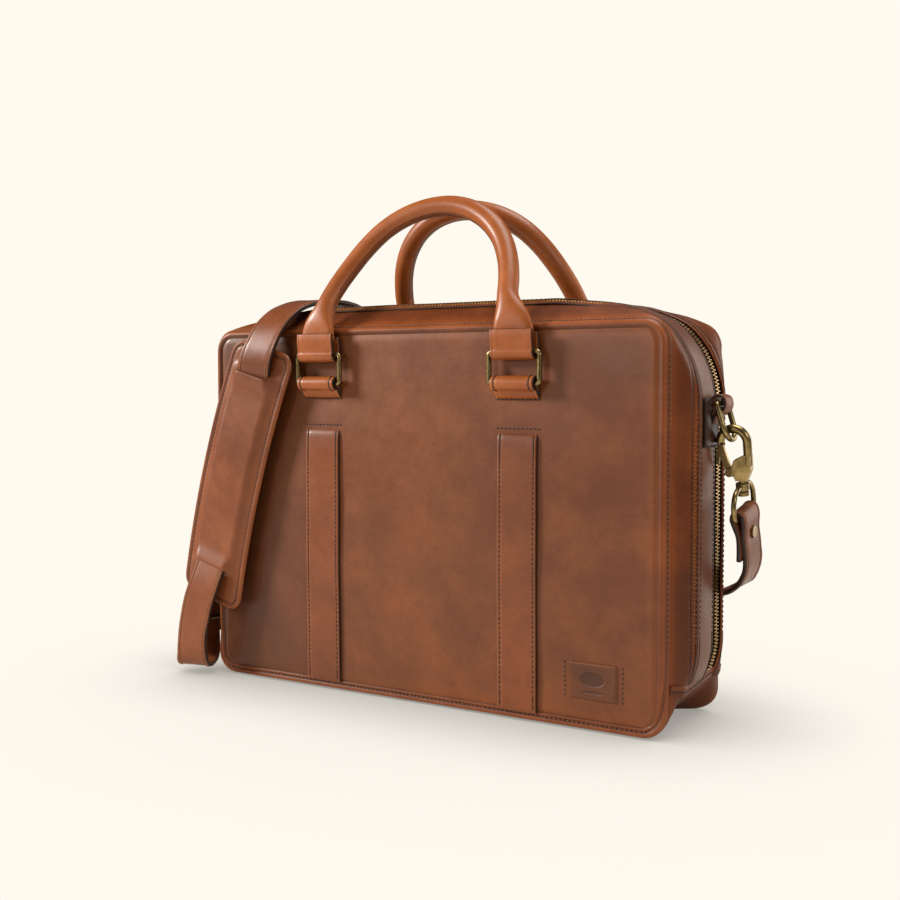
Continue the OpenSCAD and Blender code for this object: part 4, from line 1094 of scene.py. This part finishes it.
def buildPad():
    h, l, r = pad["wide"] / 2, pad["long"] / 2, pad["round"]
    nu, nv = 61, 181
    vs = np.concatenate([-l + r * (1 - np.cos(np.radians(np.linspace(0, 90, 10))))[:-1],
                         np.linspace(-l + r, l - r, nv - 18),
                         (l - r * (1 - np.cos(np.radians(np.linspace(0, 90, 10))))[:-1])[::-1]])
    outer, inner, rub, fold = [], [], [], []
    for v in vs:
        over = max(0, abs(v) - (l - r))
        wide = h - r + math.sqrt(max(r * r - over * over, 0))
        for t in np.linspace(-1, 1, nu):
            u = math.sin(t * math.pi / 2) * wide * 0.35 + t * wide * 0.65
            outer.append((u, -padLift(u, v), v))
            inner.append((u, padLift(u, v, False), v))
            rim = min(wide - abs(u), l - abs(v))
            rub.append(0.8 * (1 - float(smoothstep(0.5, 2.6, rim))) + 0.25 * math.exp(-((rim - 7) / 2.5) ** 2))
            # painted shade in the stitch groove and in the mouths of the slots
            slot = sum(math.exp(-((v - place) / 0.9) ** 2) for place in pad["slots"]) * (abs(u) < pad["slotHalf"])
            fold.append(min(1, 0.5 * math.exp(-((rim - 4.4) / 0.5) ** 2) + 0.5 * slot))
    tilt = math.radians(pad["tilt"])

    def placed(points):
        p = np.asarray(points, float)
        u = p[:, 0] - pad["bow"] * (1 - (p[:, 2] / 95) ** 2)
        x = u * math.cos(tilt) + p[:, 2] * math.sin(tilt)
        z = -u * math.sin(tilt) + p[:, 2] * math.cos(tilt)
        return (np.stack([x, p[:, 1], z], axis=1) + np.array(pad["middle"])) * mm

    rows, n = len(vs), len(outer)
    faces = gridFaces(rows, nu) + [tuple(i + n for i in f[::-1]) for f in gridFaces(rows, nu)]
    rim = list(range(nu)) + [i * nu + nu - 1 for i in range(1, rows)] + [n - 1 - j for j in range(1, nu)]
    rim += [i * nu for i in range(rows - 2, 0, -1)]
    faces += [(a, rim[(k + 1) % len(rim)], rim[(k + 1) % len(rim)] + n, a + n) for k, a in enumerate(rim)]
    piece = outward(addPiece("shoulder_pad_leather", placed(outer + inner), faces, leathers["strap"],
                             {"rub": rub + rub, "fold": fold + [0] * n}))
    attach(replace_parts(piece, "shoulder_pad"), "front_side")
    inset = 4.4
    outline = []
    for cx, cz, start in ((h - r, l - r, 0), (r - h, l - r, 90), (r - h, r - l, 180), (h - r, r - l, 270)):
        outline += [(cx + (r - inset) * math.cos(math.radians(a)), cz + (r - inset) * math.sin(math.radians(a)))
                    for a in range(start, start + 91, 15)]
    outline.append(outline[0])
    dense = spaced(np.array(outline), 2)
    line = placed([(u, -padLift(u, v) , v) for u, v in dense])
    stitch("pad_stitches", line, (0, -1, 0), radius=0.42, lift=0.1)


buildPad()
print("shoulder pad done")


# ---------------------------------------------------------------- stitches become pieces
stitchBodies = {
    "front_gusset_stitches": 1, "rear_gusset_stitches": -1, "front_seam_stitches": 1, "rear_seam_stitches": -1,
}
stitchRides = {
    "front_welt_stitches": "front_side", "rear_welt_stitches": "rear_side", "middle_band_stitches": "bag",
    "front_panel_stitches": "front_side", "rear_panel_stitches": "rear_side", "front_chape_stitches": "front_side",
    "rear_chape_stitches": "rear_side", "front_handle_stitches": "front_handle", "rear_handle_stitches": "rear_handle",
    "tab_stitches": "bag", "pad_stitches": "front_side",
}
tanRows = {"front_welt_stitches", "rear_welt_stitches", "strap_before_stitches", "strap_behind_stitches",
           "strap_below_stitches"}
for key, (verts, faces, _) in threads.items():
    thread = cloths["tanThread"] if key in tanRows else cloths["darkThread"]
    piece = addPiece(key, verts, faces, thread)
    if key in stitchBodies:
        bendOpen(piece)
    elif key in stitchRides:
        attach(piece, stitchRides[key])
    else:
        way = {"strap_behind_stitches": "rear", "strap_before_stitches": "front", "strap_below_stitches": "low"}[key]
        body, start, end = strapBends[way]
        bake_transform(piece)
print("stitches", sum(len(v[0]) for v in threads.values()) // 30)

# ---------------------------------------------------------------- finishes of the pieces that CAD makes
cadFinish = {
    brass: ["left_swivel_eye", "right_swivel_eye", "strap_rivets", "front_left_ring", "front_right_ring",
            "rear_left_ring", "rear_right_ring", "left_side_ring", "right_side_ring", "left_snap_hook",
            "right_snap_hook", "left_hook_gate", "right_hook_gate", "front_zip_slider", "rear_zip_slider",
            "front_zip_pull", "rear_zip_pull", "strap_adjuster"],
    cloths["lining"]: ["divider_panel", "laptop_sleeve", "document_pocket", "front_lining", "back_lining"],
    cloths["board"]: ["base_board", "front_board", "back_board"],
}
for material, names in cadFinish.items():
    for name in names:
        cad[name].data.materials.clear()
        cad[name].data.materials.append(material)

print("done")
